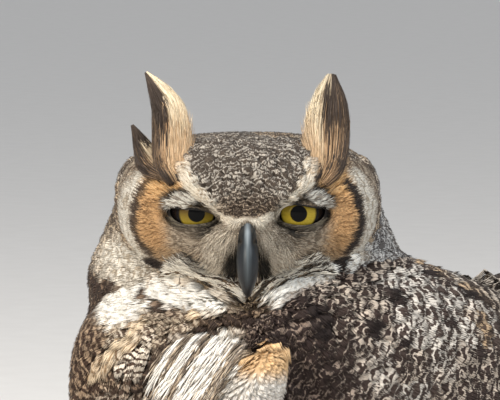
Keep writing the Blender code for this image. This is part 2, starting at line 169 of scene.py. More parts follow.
# Forms of the face, paired off the middle: right, up, spread each way, and how far each stands forward.
FACE_FORMS = (
    (0.046, 0.000, 0.010, 0.018, -0.004),
    (0.014, 0.010, 0.009, 0.007, 0.005),
    (0.028, 0.020, 0.012, 0.007, 0.006),
    (0.000, -0.010, 0.009, 0.018, 0.007),
    (0.019, -0.025, 0.012, 0.009, 0.006),
    (0.058, -0.004, 0.007, 0.026, 0.004),
)
# Marks on the face, mirrored off the middle, in millimetres across and up.
BROW = ((2.0, -11.5), (8.0, -11.0), (12.6, -9.0), (17.0, -4.2), (24.0, 2.0), (31.0, 8.0), (33.5, 14.0),
        (35.0, 20.0))
MOUSTACHE = ((40.0, -33.5), (30.0, -30.5), (21.0, -35.0), (12.0, -41.5), (5.0, -48.5), (0.5, -54.0))
CHIN_LINE = ((38.0, -36.0), (32.0, -35.5), (22.0, -40.5), (14.0, -46.5), (5.0, -52.5), (0.0, -56.5))
DISC_CENTRE, DISC_RADIUS, DISC_ANGLES = (36.0, -8.5), 24.5, (-50.0, 48.0)
# Where bristles hang beside the bill and over its root: middle and radii.
BRISTLES = ((13.5, -27.0), (9.5, 13.0))
BILL_TOP = ((0.0, -14.5), (9.5, 5.0))
# Ridges that the folds of plumage make: line, half width, height.
RIDGES = ((BROW, 3.6, 2.6), (MOUSTACHE, 3.2, 3.0))

# The gap between the lids, for the bird's left and right eye: height of its upper edge at the middle, how
# that edge drops to the outer corner, and the same for the lower edge. Its half width, centre and slant.
OPENING_HALF, OPENING_AT, OPENING_SLANT = 12.5, (29.6, -6.9), math.radians(12)
LIDS = {1: ((4.3, -4.4), (6.3, 2.0)), -1: ((1.9, -1.6), (6.0, 2.4))}

# Where the eyes look, below the level of the front, and how the clear front of an eye stands out of its ball.
GAZE_FALL = math.radians(9.5)
GAZE = FRONT_OUT * math.cos(GAZE_FALL) - FRONT_UP * math.sin(GAZE_FALL)
CORNEA_BULGE, CORNEA_ANGLE = 0.0009, math.radians(42)


def cornea(ways):
    """How far the clear front stands out of the eyeball in these ways from its middle."""
    return CORNEA_BULGE * (1 - ease(np.arccos(np.clip(ways @ GAZE, -1, 1)), 0.0, CORNEA_ANGLE))


def disc_rim(across, up):
    """Distance from the rim of the facial disc, and 1 where the rim runs."""
    dx, dy = np.abs(across) - DISC_CENTRE[0], up - DISC_CENTRE[1]
    turn = np.degrees(np.arctan2(dy, dx))
    low, high = DISC_ANGLES
    along = ease(turn, low - 8, low + 2) * (1 - ease(turn, high - 2, high + 8))
    return np.hypot(dx, dy) - DISC_RADIUS, along


def opening(across, up, side):
    """Share of the way from the middle of the eye's opening to its edge, over 1 outside."""
    x, y = side * across - OPENING_AT[0], up - OPENING_AT[1]
    c, s = math.cos(OPENING_SLANT), math.sin(OPENING_SLANT)
    x, y = (x * c + y * s) / OPENING_HALF, y * c - x * s
    (top, fall), (low, rise) = LIDS[side]
    reach = np.where(y > 0, top + fall * np.clip(x, -1, 0.7), low + rise * np.clip(x, -1, 1))
    return np.hypot(x, y / reach)


def head_form(ways):
    """The skin of the head under its plumage, in these ways from its centre."""
    r, u, f = ways.T
    up_size = np.where(u > 0, CROWN_HEIGHT, CHIN_DEPTH)
    deep_size = np.where(f > 0, FACE_DEPTH, NAPE_DEPTH)
    low = np.clip(-2.5 * u, 0, 1)
    power = HEAD_SQUARENESS + (CHIN_SQUARENESS - HEAD_SQUARENESS) * low
    total = sum(np.abs(x / s) ** power for x, s in ((r, HEAD_HALF_WIDTH), (u, up_size), (f, deep_size)))
    r, u, f = (x * total ** (-1 / power) for x in (r, u, f))
    front = np.clip((f / FACE_DEPTH - 0.1) / 0.4, 0, 1)
    for right, up, wide, high, push in FACE_FORMS:
        for side in (-1, 1) if right else (1,):
            f = f + front * push * np.exp(-(((r - side * right) / wide) ** 2) - ((u - up) / high) ** 2)
    places = HEAD + r[:, None] * RIGHT + u[:, None] * UP + f[:, None] * FORWARD
    across, high, _ = on_front(places).T
    push = np.zeros(len(places))
    for line, half, height in RIDGES:
        push += height * np.exp(-((line_distance(np.abs(across), high, line) / half) ** 2))
    rim, along = disc_rim(across, high)
    push += 1.8 * along * np.exp(-((rim / 2.6) ** 2))
    for side in (-1, 1):
        push -= 15 * (1 - ease(opening(across, high, side), 0.95, 1.35))
    return places + (front * push * MM)[:, None] * FRONT_OUT


def mesh_arrays(mesh):
    """A mesh's points and triangles."""
    mesh.calc_loop_triangles()
    places = np.empty(len(mesh.vertices) * 3)
    mesh.vertices.foreach_get("co", places)
    triangles = np.empty(len(mesh.loop_triangles) * 3, np.int32)
    mesh.loop_triangles.foreach_get("vertices", triangles)
    return places.reshape(-1, 3), triangles.reshape(-1, 3)


def edges_of(mesh):
    return np.array([e.vertices[:] for e in mesh.edges])


def move_points(mesh, places):
    mesh.vertices.foreach_set("co", places.astype(np.float32).ravel())
    mesh.update()


def new_mesh(name, places, triangles):
    """A smooth mesh of these points and triangles."""
    mesh = bpy.data.meshes.new(name)
    mesh.vertices.add(len(places))
    mesh.vertices.foreach_set("co", places.astype(np.float32).ravel())
    mesh.loops.add(triangles.size)
    mesh.loops.foreach_set("vertex_index", triangles.astype(np.int32).ravel())
    mesh.polygons.add(len(triangles))
    mesh.polygons.foreach_set("loop_start", np.arange(0, triangles.size, 3, dtype=np.int32))
    mesh.update(calc_edges=True)
    mesh.shade_smooth()
    return mesh


def mesh_of(bm, name):
    """The mesh being edited, as a mesh of its own."""
    mesh = bpy.data.meshes.new(name)
    bm.to_mesh(mesh)
    bm.free()
    return mesh


def new_object(name, mesh, look=None):
    obj = bpy.data.objects.new(name, mesh)
    bpy.context.scene.collection.objects.link(obj)
    if look is not None:
        mesh.materials.append(look)
    return obj


def finish_piece(obj, slot, *nodes):
    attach(obj, "root")
    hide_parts(*nodes)


def tree_of(places, triangles):
    """A search tree over these triangles."""
    return BVHTree.FromPolygons([Vector(p) for p in places], triangles.tolist())


def join_arrays(parts):
    """Several sets of points and triangles as one."""
    points, faces, start = [], [], 0
    for places, triangles in parts:
        points.append(places)
        faces.append(triangles + start)
        start += len(places)
    return np.concatenate(points), np.concatenate(faces)


def tube_faces(rings, sides):
    """The triangles of a tube of this many rings, each of this many points."""
    i, j = np.meshgrid(np.arange(rings - 1), np.arange(sides), indexing="ij")
    a, b = (i * sides + j).ravel(), (i * sides + (j + 1) % sides).ravel()
    return np.stack([a, b, b + sides, a, b + sides, a + sides], axis=1).reshape(-1, 3)


def head_mesh():
    """The head's form as a cube cut small and pushed out to it."""
    bm = bmesh.new()
    bmesh.ops.create_cube(bm, size=2.0)
    bmesh.ops.subdivide_edges(bm, edges=bm.edges[:], cuts=HEAD_CUTS, use_grid_fill=True)
    ways = unit(np.tan(np.array([v.co for v in bm.verts]) * math.pi / 4))
    for v, place in zip(bm.verts, head_form(ways)):
        v.co = place
    return mesh_of(bm, "head_form")


# ---------------------------------------------------------------- one skin under the plumage

FLESH = ("trunk", "neck", "head",
         "wing_left", "wing_right", "leg_left", "leg_right", "foot_left", "foot_right")
VOXEL = 0.0021
# How thick the plumage is over each part, in millimetres, and the most of a thin part that one side may take.
COAT_DEPTH = {"trunk": 6.0, "neck": 5.5, "head": 2.6, "wing": 4.0, "leg": 2.5, "foot": 1.2}
THIN_SHARE = 0.25
# How high over the floor the skin stays, in metres.
SKIN_CLEARANCE = 0.0015


def welded(node):
    """A copy of a solid's mesh with its split points joined."""
    bm = bmesh.new()
    bm.from_mesh(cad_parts[node].data)
    bmesh.ops.remove_doubles(bm, verts=bm.verts, dist=1e-6)
    return mesh_of(bm, node + "_copy")


def solid_tree():
    """A search tree over the flesh of the solids, and the part that each of its triangles belongs to."""
    parts = [mesh_arrays(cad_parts[node].data) for node in FLESH]
    owners = np.repeat(np.arange(len(FLESH)), [len(triangles) for _, triangles in parts])
    return tree_of(*join_arrays(parts)), owners


SOLIDS, OWNERS = solid_tree()


def nearest(tree, points):
    """The nearest places of a tree, their normals and their triangles."""
    found = [tree.find_nearest(Vector(p)) for p in points]
    return [np.array([f[k] for f in found]) for k in range(3)]


def parts_at(points):
    """The index in FLESH of the part that each point lies by."""
    return OWNERS[nearest(SOLIDS, points)[2]]


def relax(places, edges, shares, rounds):
    """Moves each point towards the middle of its neighbours, by its share, this many times."""
    count = np.bincount(edges.ravel(), minlength=len(places))[:, None]
    shares = np.broadcast_to(shares, len(places))[:, None]
    for _ in range(rounds):
        total = np.zeros_like(places)
        for axis in range(places.shape[1]):
            for here, there in ((0, 1), (1, 0)):
                total[:, axis] += np.bincount(edges[:, here], places[edges[:, there], axis], len(places))
        places = places + shares * (total / count - places)
    return places


def remeshed(meshes, voxel):
    """One closed mesh round all of these."""
    bm = bmesh.new()
    for mesh in meshes:
        bm.from_mesh(mesh)
    obj = new_object("joined", mesh_of(bm, "joined"))
    modifier = obj.modifiers.new("one_skin", "REMESH")
    modifier.mode = "VOXEL"
    modifier.voxel_size = voxel
    graph = bpy.context.evaluated_depsgraph_get()
    mesh = bpy.data.meshes.new_from_object(obj.evaluated_get(graph))
    bpy.data.objects.remove(obj)
    return mesh


def thickness(mesh, places):
    """How far each point of a closed mesh is from its other side, straight through, up to 3 cm."""
    move_points(mesh, places)
    tree = tree_of(places, mesh_arrays(mesh)[1])
    through = np.full(len(places), 0.1)
    for i, (place, normal) in enumerate(zip(places, mesh.vertex_normals)):
        far = tree.ray_cast(Vector(place) - normal.vector * 0.0004, -normal.vector, 0.03)[3]
        if far is not None:
            through[i] = far
    return through


def skin_mesh():
    """The flesh joined, smoothed, and drawn in by the depth of the coat."""
    mesh = remeshed([head_mesh()] + [welded(n) for n in FLESH if n != "head"], VOXEL)
    places, _ = mesh_arrays(mesh)
    edges, parts = edges_of(mesh), parts_at(places)
    depth = np.array([COAT_DEPTH[n.split("_")[0]] for n in FLESH])[parts] * MM
    depth = relax(depth[:, None], edges, 0.6, 12)[:, 0]
    is_face = (parts == FLESH.index("head")) & (on_front(places)[:, 2] > 8)
    is_foot = parts >= FLESH.index("foot_left")
    places = relax(places, edges, np.where(is_face, 0.0, np.where(is_foot, 0.08, 0.7)), 14)
    places = relax(places, edges, np.where(is_foot, 0.1, 0.4), 2)
    depth = np.minimum(depth, THIN_SHARE * thickness(mesh, places))
    depth = relax(depth[:, None], edges, 0.5, 4)
    for _ in range(3):
        move_points(mesh, places)
        places = places - np.array([n.vector for n in mesh.vertex_normals]) * depth / 3
        places = relax(places, edges, np.where(is_face | is_foot, 0.15, 0.6), 2)
    places[:, 2] = np.maximum(places[:, 2], SKIN_CLEARANCE)
    move_points(mesh, places)
    return mesh


def lid_curve(side, size, count):
    """The edge of the eye's opening, or that edge drawn this many times larger, across and up."""
    t = np.linspace(0, 2 * math.pi, count, endpoint=False)
    x = np.cos(t)
    (top, fall), (low, rise) = LIDS[side]
    y = np.where(np.sin(t) > 0, np.sin(t) * (top + fall * np.clip(x, -1, 0.7)), np.sin(t) * (low + rise * x))
    x, y = x * OPENING_HALF * (1 + (size - 1) * 0.75), y * size
    c, s = math.cos(OPENING_SLANT), math.sin(OPENING_SLANT)
    return side * (OPENING_AT[0] + x * c - y * s), OPENING_AT[1] + x * s + y * c


# Rings of a lid: size against the opening, height over the eyeball, and share of the skin's own place.
LID_RINGS = (
    (1.00, -0.6, 0.0),
    (1.00, 0.5, 0.0),
    (1.06, 0.9, 0.0),
    (1.16, 1.1, 0.0),
    (1.30, 1.0, 0.05),
    (1.42, 0.9, 0.3),
    (1.60, 0.8, 0.65),
    (1.85, 0.6, 0.9),
    (2.15, 0.2, 1.0),
)
LID_COUNT = 72


def lid_mesh(side, tree):
    """Both lids of an eye: a rim turned in to the eyeball, a cover over it, and a fold into the face."""
    eye = on_front((EYE_LEFT if side > 0 else EYE_RIGHT)[None])[0]
    rings = []
    for size, stand, share in LID_RINGS:
        across, up = lid_curve(side, size, LID_COUNT)
        far = np.hypot(across - eye[0], up - eye[1])
        radius = EYE_RADIUS / MM + stand
        out = eye[2] + np.sqrt(np.maximum(radius**2 - far**2, 9.0))
        ways = unit(from_front(across, up, out) - from_front(*eye))
        out = eye[2] + np.sqrt(np.maximum((radius + cornea(ways) / MM) ** 2 - far**2, 9.0))
        places = from_front(across, up, out)
        for i in range(LID_COUNT):
            start = Vector(from_front(across[i], up[i], 90.0))
            hit = tree.ray_cast(start, Vector(-FRONT_OUT))[0]
            if hit is not None and share > 0:
                skin_out = on_front(np.array(hit)[None])[0][2] + 0.3 - 1.2 * (share == 1.0)
                skin_out = skin_out if share == 1.0 else max(skin_out, out[i] - 0.3)
                places[i] = from_front(across[i], up[i], out[i] + (skin_out - out[i]) * share)
        rings.append(places)
    faces = tube_faces(len(rings), LID_COUNT)
    return np.concatenate(rings), faces if side < 0 else faces[:, [0, 2, 1]]


def make_skin():
    places, triangles = mesh_arrays(skin_mesh())
    tree = tree_of(places, triangles)
    return join_arrays([(places, triangles)] + [lid_mesh(side, tree) for side in (1, -1)])


SKIN_POINTS, SKIN_FACES = make_skin()
SKIN = tree_of(SKIN_POINTS, SKIN_FACES)

# ---------------------------------------------------------------- kinds of plumage

# Pale colour, dark colour, share of dark, wobble of the bars, their period in millimetres, and how far they
# turn from bars across a feather (0) to streaks along it (1).
KINDS = {
    "neck": ((0.50, 0.41, 0.305), (0.17, 0.12, 0.083), 0.44, 1.2, 2.8, 0.1),
    # The neck's bars in cool grey: painted cool sky light on the bird's left side.
    "neck_sky_lit": ((0.50, 0.49, 0.47), (0.11, 0.10, 0.095), 0.44, 1.4, 3.0, 0.1),
    "nape": ((0.44, 0.34, 0.23), (0.085, 0.06, 0.042), 0.50, 1.2, 3.8, 0.0),
    "neck_white": ((0.74, 0.69, 0.60), (0.46, 0.39, 0.30), 0.28, 1.4, 3.4, 0.2),
    "crown": ((0.44, 0.395, 0.335), (0.075, 0.057, 0.043), 0.56, 1.25, 3.0, 0.0),
    "crown_low": ((0.36, 0.28, 0.20), (0.06, 0.042, 0.03), 0.62, 1.0, 2.0, 0.0),
    "lid": ((0.70, 0.67, 0.60), (0.34, 0.30, 0.25), 0.26, 0.9, 2.2, 1.0),
    "lid_edge": ((0.05, 0.04, 0.03), (0.012, 0.010, 0.009), 0.7, 1.0, 2.0, 1.0),
    "lid_rim": ((0.14, 0.12, 0.085), (0.06, 0.05, 0.038), 0.4, 1.0, 2.0, 1.0),
    "brow": ((0.80, 0.73, 0.61), (0.52, 0.42, 0.30), 0.16, 0.8, 2.0, 1.0),
    "tawny": ((0.60, 0.37, 0.18), (0.38, 0.225, 0.105), 0.24, 1.0, 2.2, 1.0),
    "tawny_pale": ((0.66, 0.42, 0.20), (0.50, 0.29, 0.12), 0.25, 1.0, 2.2, 1.0),
    "low_face": ((0.46, 0.33, 0.20), (0.20, 0.135, 0.08), 0.36, 1.5, 3.2, 0.5),
    "grey": ((0.42, 0.35, 0.265), (0.20, 0.155, 0.11), 0.32, 1.2, 2.8, 0.8),
    "rim": ((0.12, 0.085, 0.06), (0.03, 0.022, 0.018), 0.8, 1.0, 3.0, 1.0),
    "bristle": ((0.66, 0.585, 0.475), (0.38, 0.31, 0.23), 0.20, 0.8, 2.4, 1.0),
    "bill_dark": ((0.09, 0.075, 0.055), (0.02, 0.018, 0.015), 0.7, 1.0, 2.0, 1.0),
    "moustache": ((0.78, 0.73, 0.63), (0.36, 0.29, 0.21), 0.16, 0.8, 2.0, 1.0),
    "chin": ((0.42, 0.31, 0.19), (0.035, 0.022, 0.014), 0.52, 0.9, 2.4, 1.0),
    "chin_streak": ((0.40, 0.285, 0.165), (0.085, 0.052, 0.030), 0.45, 0.6, 7.0, 0.4),
    "tuft_base": ((0.56, 0.37, 0.205), (0.11, 0.070, 0.045), 0.44, 1.4, 3.0, 0.4),
    "bib": ((0.93, 0.90, 0.83), (0.62, 0.53, 0.42), 0.05, 0.8, 7.0, 0.0),
    "blotch": ((0.20, 0.135, 0.09), (0.05, 0.032, 0.023), 0.7, 0.8, 5.0, 0.3),
    "belly": ((0.88, 0.78, 0.65), (0.085, 0.052, 0.035), 0.36, 0.55, 3.8, 0.0),
    "barred": ((0.42, 0.30, 0.20), (0.055, 0.030, 0.019), 0.50, 0.6, 5.0, 0.0),
    "tan": ((0.72, 0.58, 0.41), (0.38, 0.25, 0.14), 0.2, 0.8, 5.0, 1.0),
    "mottle": ((0.44, 0.315, 0.205), (0.085, 0.052, 0.034), 0.52, 1.3, 4.4, 0.2),
    "plume": ((0.92, 0.88, 0.81), (0.62, 0.54, 0.44), 0.12, 0.5, 5.0, 1.0),
    "knee": ((0.80, 0.54, 0.29), (0.72, 0.46, 0.23), 0.2, 0.8, 3.0, 1.0),
    "knee_pale": ((0.74, 0.70, 0.64), (0.64, 0.58, 0.50), 0.2, 0.8, 3.0, 1.0),
    "wing_front": ((0.28, 0.21, 0.165), (0.030, 0.018, 0.015), 0.66, 1.3, 4.6, 0.0),
    "wing": ((0.58, 0.49, 0.40), (0.048, 0.031, 0.025), 0.52, 1.2, 5.6, 0.0),
    "wing_bright": ((0.74, 0.68, 0.60), (0.075, 0.052, 0.042), 0.40, 1.1, 5.8, 0.0),
    "wing_tan": ((0.56, 0.40, 0.25), (0.09, 0.060, 0.042), 0.42, 0.9, 5.4, 0.0),
    "wing_black": ((0.13, 0.095, 0.075), (0.022, 0.014, 0.012), 0.84, 1.0, 5.0, 0.0),
    "wing_long": ((0.52, 0.45, 0.37), (0.052, 0.038, 0.030), 0.50, 0.45, 7.0, 0.0),
    "back": ((0.55, 0.48, 0.40), (0.055, 0.039, 0.031), 0.53, 1.2, 4.6, 0.0),
    "under": ((0.82, 0.75, 0.64), (0.16, 0.11, 0.075), 0.34, 0.5, 4.4, 0.0),
    "foot": ((0.78, 0.69, 0.55), (0.48, 0.38, 0.26), 0.2, 1.0, 3.0, 0.5),
    "tuft_black": ((0.17, 0.125, 0.090), (0.060, 0.043, 0.033), 0.80, 1.0, 12.0, 0.4),
    "tuft_tan": ((0.62, 0.41, 0.23), (0.44, 0.27, 0.14), 0.35, 1.0, 12.0, 0.5),
    "tuft_cream": ((0.86, 0.73, 0.52), (0.74, 0.58, 0.37), 0.2, 0.8, 9.0, 0.5),
    "shaft": ((0.16, 0.11, 0.07), (0.10, 0.07, 0.045), 0.5, 0.5, 9.0, 0.0),
    "flight": ((0.44, 0.33, 0.22), (0.06, 0.042, 0.03), 0.46, 0.16, 15.0, 0.0),
    "tail": ((0.52, 0.38, 0.25), (0.065, 0.045, 0.032), 0.42, 0.16, 18.0, 0.0),
}


class Look:
    """The colours and bars of many feathers at once."""

    FIELDS = ("pale", "dark", "share", "wobble", "period", "streak")

    def __init__(self, count, kind):
        for name, value in zip(self.FIELDS, KINDS[kind]):
            setattr(self, name, np.tile(np.atleast_1d(value).astype(float), (count, 1)))

    def lay(self, kind, cover):
        """Lays a kind of plumage over the feathers, as far as cover says."""
        for name, value in zip(self.FIELDS, KINDS[kind]):
            old = getattr(self, name)
            setattr(self, name, old + (np.atleast_1d(value) - old) * np.clip(cover, 0, 1)[:, None])

    def pick(self, chosen):
        made = Look(0, "neck")
        for name in self.FIELDS:
            setattr(made, name, getattr(self, name)[chosen])
        return made

    def bars(self):
        return np.column_stack([self.share, self.wobble, self.streak])


# Dark blotches on the breast: across, up, half width, half height.
BLOTCHES = (
    (-87.0, -42.0, 5.5, 5.5),
    (-77.5, -49.0, 7.0, 6.0),
    (-87.5, -60.0, 8.0, 6.0),
    (-56.5, -54.0, 2.6, 3.6),
    (-47.5, -59.5, 3.6, 2.6),
)
BIB = (
    ((-20.0, -55.0), (-39.0, -51.5), (-58.0, -54.0), (-72.0, -63.0)),
    ((56.0, -32.5), (42.0, -38.0), (33.0, -42.5), (24.5, -47.5), (14.0, -54.0)),
)
BIB_HALF = (8.5, 4.6)
# Short feathers also lie over the fold under the tip of the bill.
CHIN_FOLD = ((-26.0, -55.0), (-10.0, -59.0), (4.0, -61.0), (16.0, -57.0))
DARK_FOLDS = (
    ((-44.0, -60.0), (-30.0, -57.0), (-17.0, -55.0)),
    ((2.0, -65.0), (-23.0, -71.0), (-43.0, -84.0), (-60.0, -105.0)),
)
PLUMES = ((-20.0, -88.0), (25.0, 17.0))
# Where the plumage of the wing ends against the breast and neck, in front.
WING_EDGE = ((-10.0, -76.0), (-4.0, -70.0), (16.0, -59.0), (23.0, -52.5), (31.0, -48.0), (49.0, -40.0),
             (71.0, -34.5), (110.0, -30.0))
TAN_FOLD = ((-57.0, -69.0), (-71.0, -84.0), (-82.0, -98.0))
# A dark line from the inner corner of each eye down beside the bill, partly painted shade, and one over the
# root of each ear tuft.
EYE_CORNER = ((16.5, -7.5), (20.5, -13.5), (25.5, -18.7))
TUFT_LINE = ((36.0, 11.0), (46.0, 21.0), (58.0, 33.0))
FACE_END = ((0.0, -56.0), (20.0, -45.0), (37.0, -36.5))


# The pale patch on each upper lid: centre, radii and slope, for the bird's left and right eye.
LID_PATCHES = {1: ((38.0, 0.8), (7.6, 4.0), -0.36), -1: ((36.0, -0.6), (9.6, 4.0), -0.14)}


def lid_marks(look, across, up, cover):
    """A pale lid with a dark line over it and a black edge at the eye."""
    for side, ((x, y), (wide, high), slope) in LID_PATCHES.items():
        half = cover * (side * across > 0)
        level = up - slope * (side * across - x)
        look.lay("bill_dark", half * disc(side * across, level, (x - 2.0, y + 1.6), (wide + 3.0, high + 1.6)))
        look.lay("lid", half * disc(side * across, level, (x, y), (wide, high), 0.2))
        share = opening(across, up, side)
        low = up < OPENING_AT[1] - 2
        look.lay("lid_rim", half * low * (1 - ease(share, 1.25, 1.4)))
        look.lay("lid_edge", half * ~low * (1 - ease(share, 1.18, 1.28)))


def face_marks(look, across, up, cover):
    """The marks of the face and crown, most of them the same on both sides."""
    side = np.abs(across)

    def spot(kind, centre, radii, soft=0.25, strength=1.0, x=side):
        look.lay(kind, strength * cover * disc(x, up, centre, radii, soft))

    def band(kind, line, half, soft, strength=1.0):
        look.lay(kind, cover * near_line(side, up, line, half, soft) * strength)

    rim, along = disc_rim(across, up)
    over_brow = up - on_line(side, BROW)
    inside = ease(-rim, -1.0, 1.0)
    look.lay("neck", cover)
    look.lay("neck_white", cover * along * ease(rim, 1.0, 3.0) * (1 - ease(rim, 7.0, 10.0)))
    look.lay("low_face", cover * inside)
    look.lay("tawny", cover * inside * disc(side, up, (50.0, -6.0), (14.0, 22.0), 0.35))
    spot("tawny_pale", (43.0, 9.0), (12.0, 8.0))
    spot("grey", (29.0, -15.0), (15.0, 13.0), 0.4)
    spot("grey", (17.0, -22.0), (13.0, 11.0), 0.3)
    # Painted shade over the hollow round each eye, under the brow.
    spot("bill_dark", (27.0, -7.5), (17.0, 10.5), 0.35, 0.6)
    spot("bristle", *BRISTLES, 0.4)
    spot("bill_dark", (8.4, -34.5), (4.0, 9.0), 0.35)
    # Painted shade under the inner corner of the eye, on the bird's left side only.
    spot("bill_dark", (21.0, -17.0), (7.5, 6.5), 0.5, 0.55, across)
    # Painted shade between each upper lid and the brow, over the eye's inner half.
    spot("bill_dark", (21.0, 0.0), (8.0, 4.0), 0.4)
    # The dark line from each eye's inner corner: partly dark feathers, partly painted shade, stronger on the
    # bird's left.
    band("bill_dark", EYE_CORNER, 1.5, 2.0, 0.7 + 0.3 * (across > 0))
    lid_marks(look, across, up, cover)
    look.lay("rim", cover * along * (1 - ease(np.abs(rim), 0.7, 2.3)) * np.where(across < 0, 0.8, 1.0))
    spot("rim", (51.0, -34.5), (6.5, 4.5))
    look.lay("crown", cover * ease(over_brow, 1.0, 4.0) * (side < 40))
    look.lay("crown_low", cover * ease(over_brow, 1.0, 3.0) * (1 - ease(up, -4.0, 8.0)) * (side < 16))
    look.lay("crown", cover * ease(up, 20.0, 24.0))
    spot("tuft_base", (44.0, 21.0), (10.0, 9.0))
    band("rim", TUFT_LINE, 1.6, 2.0)
    band("brow", BROW, 2.5, 2.2, 1 - 0.4 * ease(up, 8.0, 18.0))
    spot("brow", (6.0, -11.5), (5.0, 2.6), 0.4)
    spot("bill_dark", (0.0, -14.0), (4.6, 4.0), 0.3, 0.6, across)
    band("chin", CHIN_LINE, 5.0, 3.0)
    band("moustache", MOUSTACHE, 1.4, 1.4)


def wing_marks(look, points, cover):
    """Mottled dark plumage, nearly black in front and brightest over the shoulder, with black spots."""
    y, z = points[:, 1] / MM, points[:, 2] / MM
    look.lay("wing_front", cover)
    look.lay("wing", cover * ease(y + 0.25 * z, -14.0, 18.0))
    bright = noise(points, 0.022, 3.0) + 0.35 * ease(y, -10.0, 40.0) * ease(z, 55.0, 80.0)
    look.lay("wing_bright", cover * ease(bright, 0.62, 0.82) * ease(y, -20.0, 10.0))
    look.lay("wing_tan", cover * ease(noise(points, 0.020, 9.0), 0.66, 0.76) * ease(y, 30.0, 60.0))
    look.lay("wing_long", cover * ease(y, 80.0, 110.0))
    look.lay("wing_black", cover * ease(noise(points, 0.011, 5.0), 0.70, 0.76) * (1 - ease(y, 80.0, 110.0)))


def plumage(points, normals):
    """The look of the plumage at these roots."""
    part = np.array(FLESH)[parts_at(points)]
    across, up, out = on_front(points).T
    across = across + (noise(points, 0.004) - 0.5) * 2.4
    up = up + (noise(points, 0.004, 7.0) - 0.5) * 2.4
    y, z, upward = points[:, 1] / MM, points[:, 2] / MM, normals[:, 2]
    trunk, neck, head = (part == name for name in ("trunk", "neck", "head"))
    wing, leg, foot = (np.char.startswith(part, name) for name in ("wing", "leg", "foot"))
    look = Look(len(points), "neck")
    look.lay("back", trunk * ease(upward, 0.1, 0.4) * ease(y, -60.0, -20.0))
    flank = trunk * (1 - ease(upward, 0.1, 0.4))
    look.lay("belly", flank)
    look.lay("under", trunk * ease(-upward, 0.2, 0.6) + trunk * ease(y, 140.0, 180.0) * (upward < 0.2))
    look.lay("nape", neck * ease(-out, -10.0, 20.0))
    look.lay("back", neck * ease(y + 0.5 * (115 - z), 5.0, 55.0))
    look.lay("wing_black", neck * ease(noise(points, 0.012, 5.0), 0.66, 0.76) * ease(-out, 0.0, 30.0))
    seen = ease(out, -45.0, -25.0)
    front = (trunk | neck) * seen

    def spot(kind, centre, radii, soft=0.25):
        look.lay(kind, front * disc(across, up, centre, radii, soft))

    # Painted cool sky light on the neck, on the bird's left side.
    look.lay("neck_sky_lit", front * ease(across, 40.0, 60.0))
    spot("neck_white", (-66.0, -34.0), (15.0, 14.0), 0.5)
    spot("neck_white", (50.0, -29.0), (12.0, 6.0), 0.5)
    look.lay("mottle", front * ease(-up, 50.0, 58.0) * (1 - 0.8 * ease(-up, 95.0, 112.0)) * (flank > 0.5))
    spot("belly", (-61.0, -85.0), (11.0, 14.0))
    spot("barred", (-88.0, -88.0), (14.0, 24.0))
    spot("plume", *PLUMES)
    spot("tan", (-25.0, -63.5), (8.0, 4.5))
    look.lay("tan", front * near_line(across, up, TAN_FOLD, 3.2, 2.5))
    for line in DARK_FOLDS:
        look.lay("blotch", front * near_line(across, up, line, 4.3, 3.4))
    edge = on_line(across, WING_EDGE)
    under_edge = front * ease(edge - up, -1.5, 1.5) * ease(across, -6.0, 2.0)
    look.lay("wing_front", under_edge)
    look.lay("wing", under_edge * ease(across, 50.0, 75.0))
    wing_marks(look, points, wing.astype(float))
    over_edge = wing * seen * ease(up - edge, -1.5, 1.5) * (across < 78)
    # The same painted cool light over the plumage at the wing's front edge, on the bird's left side.
    look.lay("neck_sky_lit", over_edge)
    look.lay("mottle", over_edge * (1 - ease(across, 16.0, 26.0)))
    for line, half in zip(BIB, BIB_HALF):
        look.lay("bib", (trunk | wing | neck) * seen * near_line(across, up, line, half, 4.0))
    for x, v, half, high in BLOTCHES:
        look.lay("blotch", (trunk | neck) * ease(out, -80.0, -65.0) * disc(across, up, (x, v), (half, high)))
    look.lay("knee", leg.astype(float))
    look.lay("knee_pale", leg * ease(-z, -92.0, -82.0))
    look.lay("foot", foot.astype(float))
    face_marks(look, across, up, head * ease(out, -5.0, 5.0))
    behind = head * ease(-out, -5.0, 5.0)
    look.lay("nape", behind)
    look.lay("crown", behind * ease(noise(points, 0.016, 4.0), 0.45, 0.65))
    look.lay("chin", front * near_line(np.abs(across), up, FACE_END, 4.5, 3.0))
    return look


# ---------------------------------------------------------------- the lie of the plumage

# Feathers spread from here over the head, and run back along the body towards the tail.
FACE_MIDDLE = HEAD + (UP * -0.013 + FORWARD * 0.042)
BODY_WAY = np.array([0.0, 1.0, -0.42])
HEAD_REACH = (0.075, 0.125)
# How the plumes on the flank hang.
HANGING = -RIGHT * 0.55 - FRONT_UP * 0.8
# Turns round the face are counted as on a ring of this radius, in millimetres.
RING_RADIUS = 30.0
# A feather whose next place faces further away than this from its own has met an edge of the skin.
EDGE_TURN = 0.35


def dots(a, b):
    """The dot product of each pair of vectors."""
    return np.sum(a * b, axis=-1, keepdims=True)


def across_skin(ways, normals):
    """These ways turned flat along the skin."""
    return unit(ways - normals * dots(ways, normals))


def face_rings(points, period):
    """Places in rings round the middle of the face, and round each ring, counted in bars."""
    away = points - FACE_MIDDLE
    turn = np.arctan2(away @ RIGHT, away @ UP) * RING_RADIUS
    return np.linalg.norm(away, axis=-1) / MM / period, turn / period


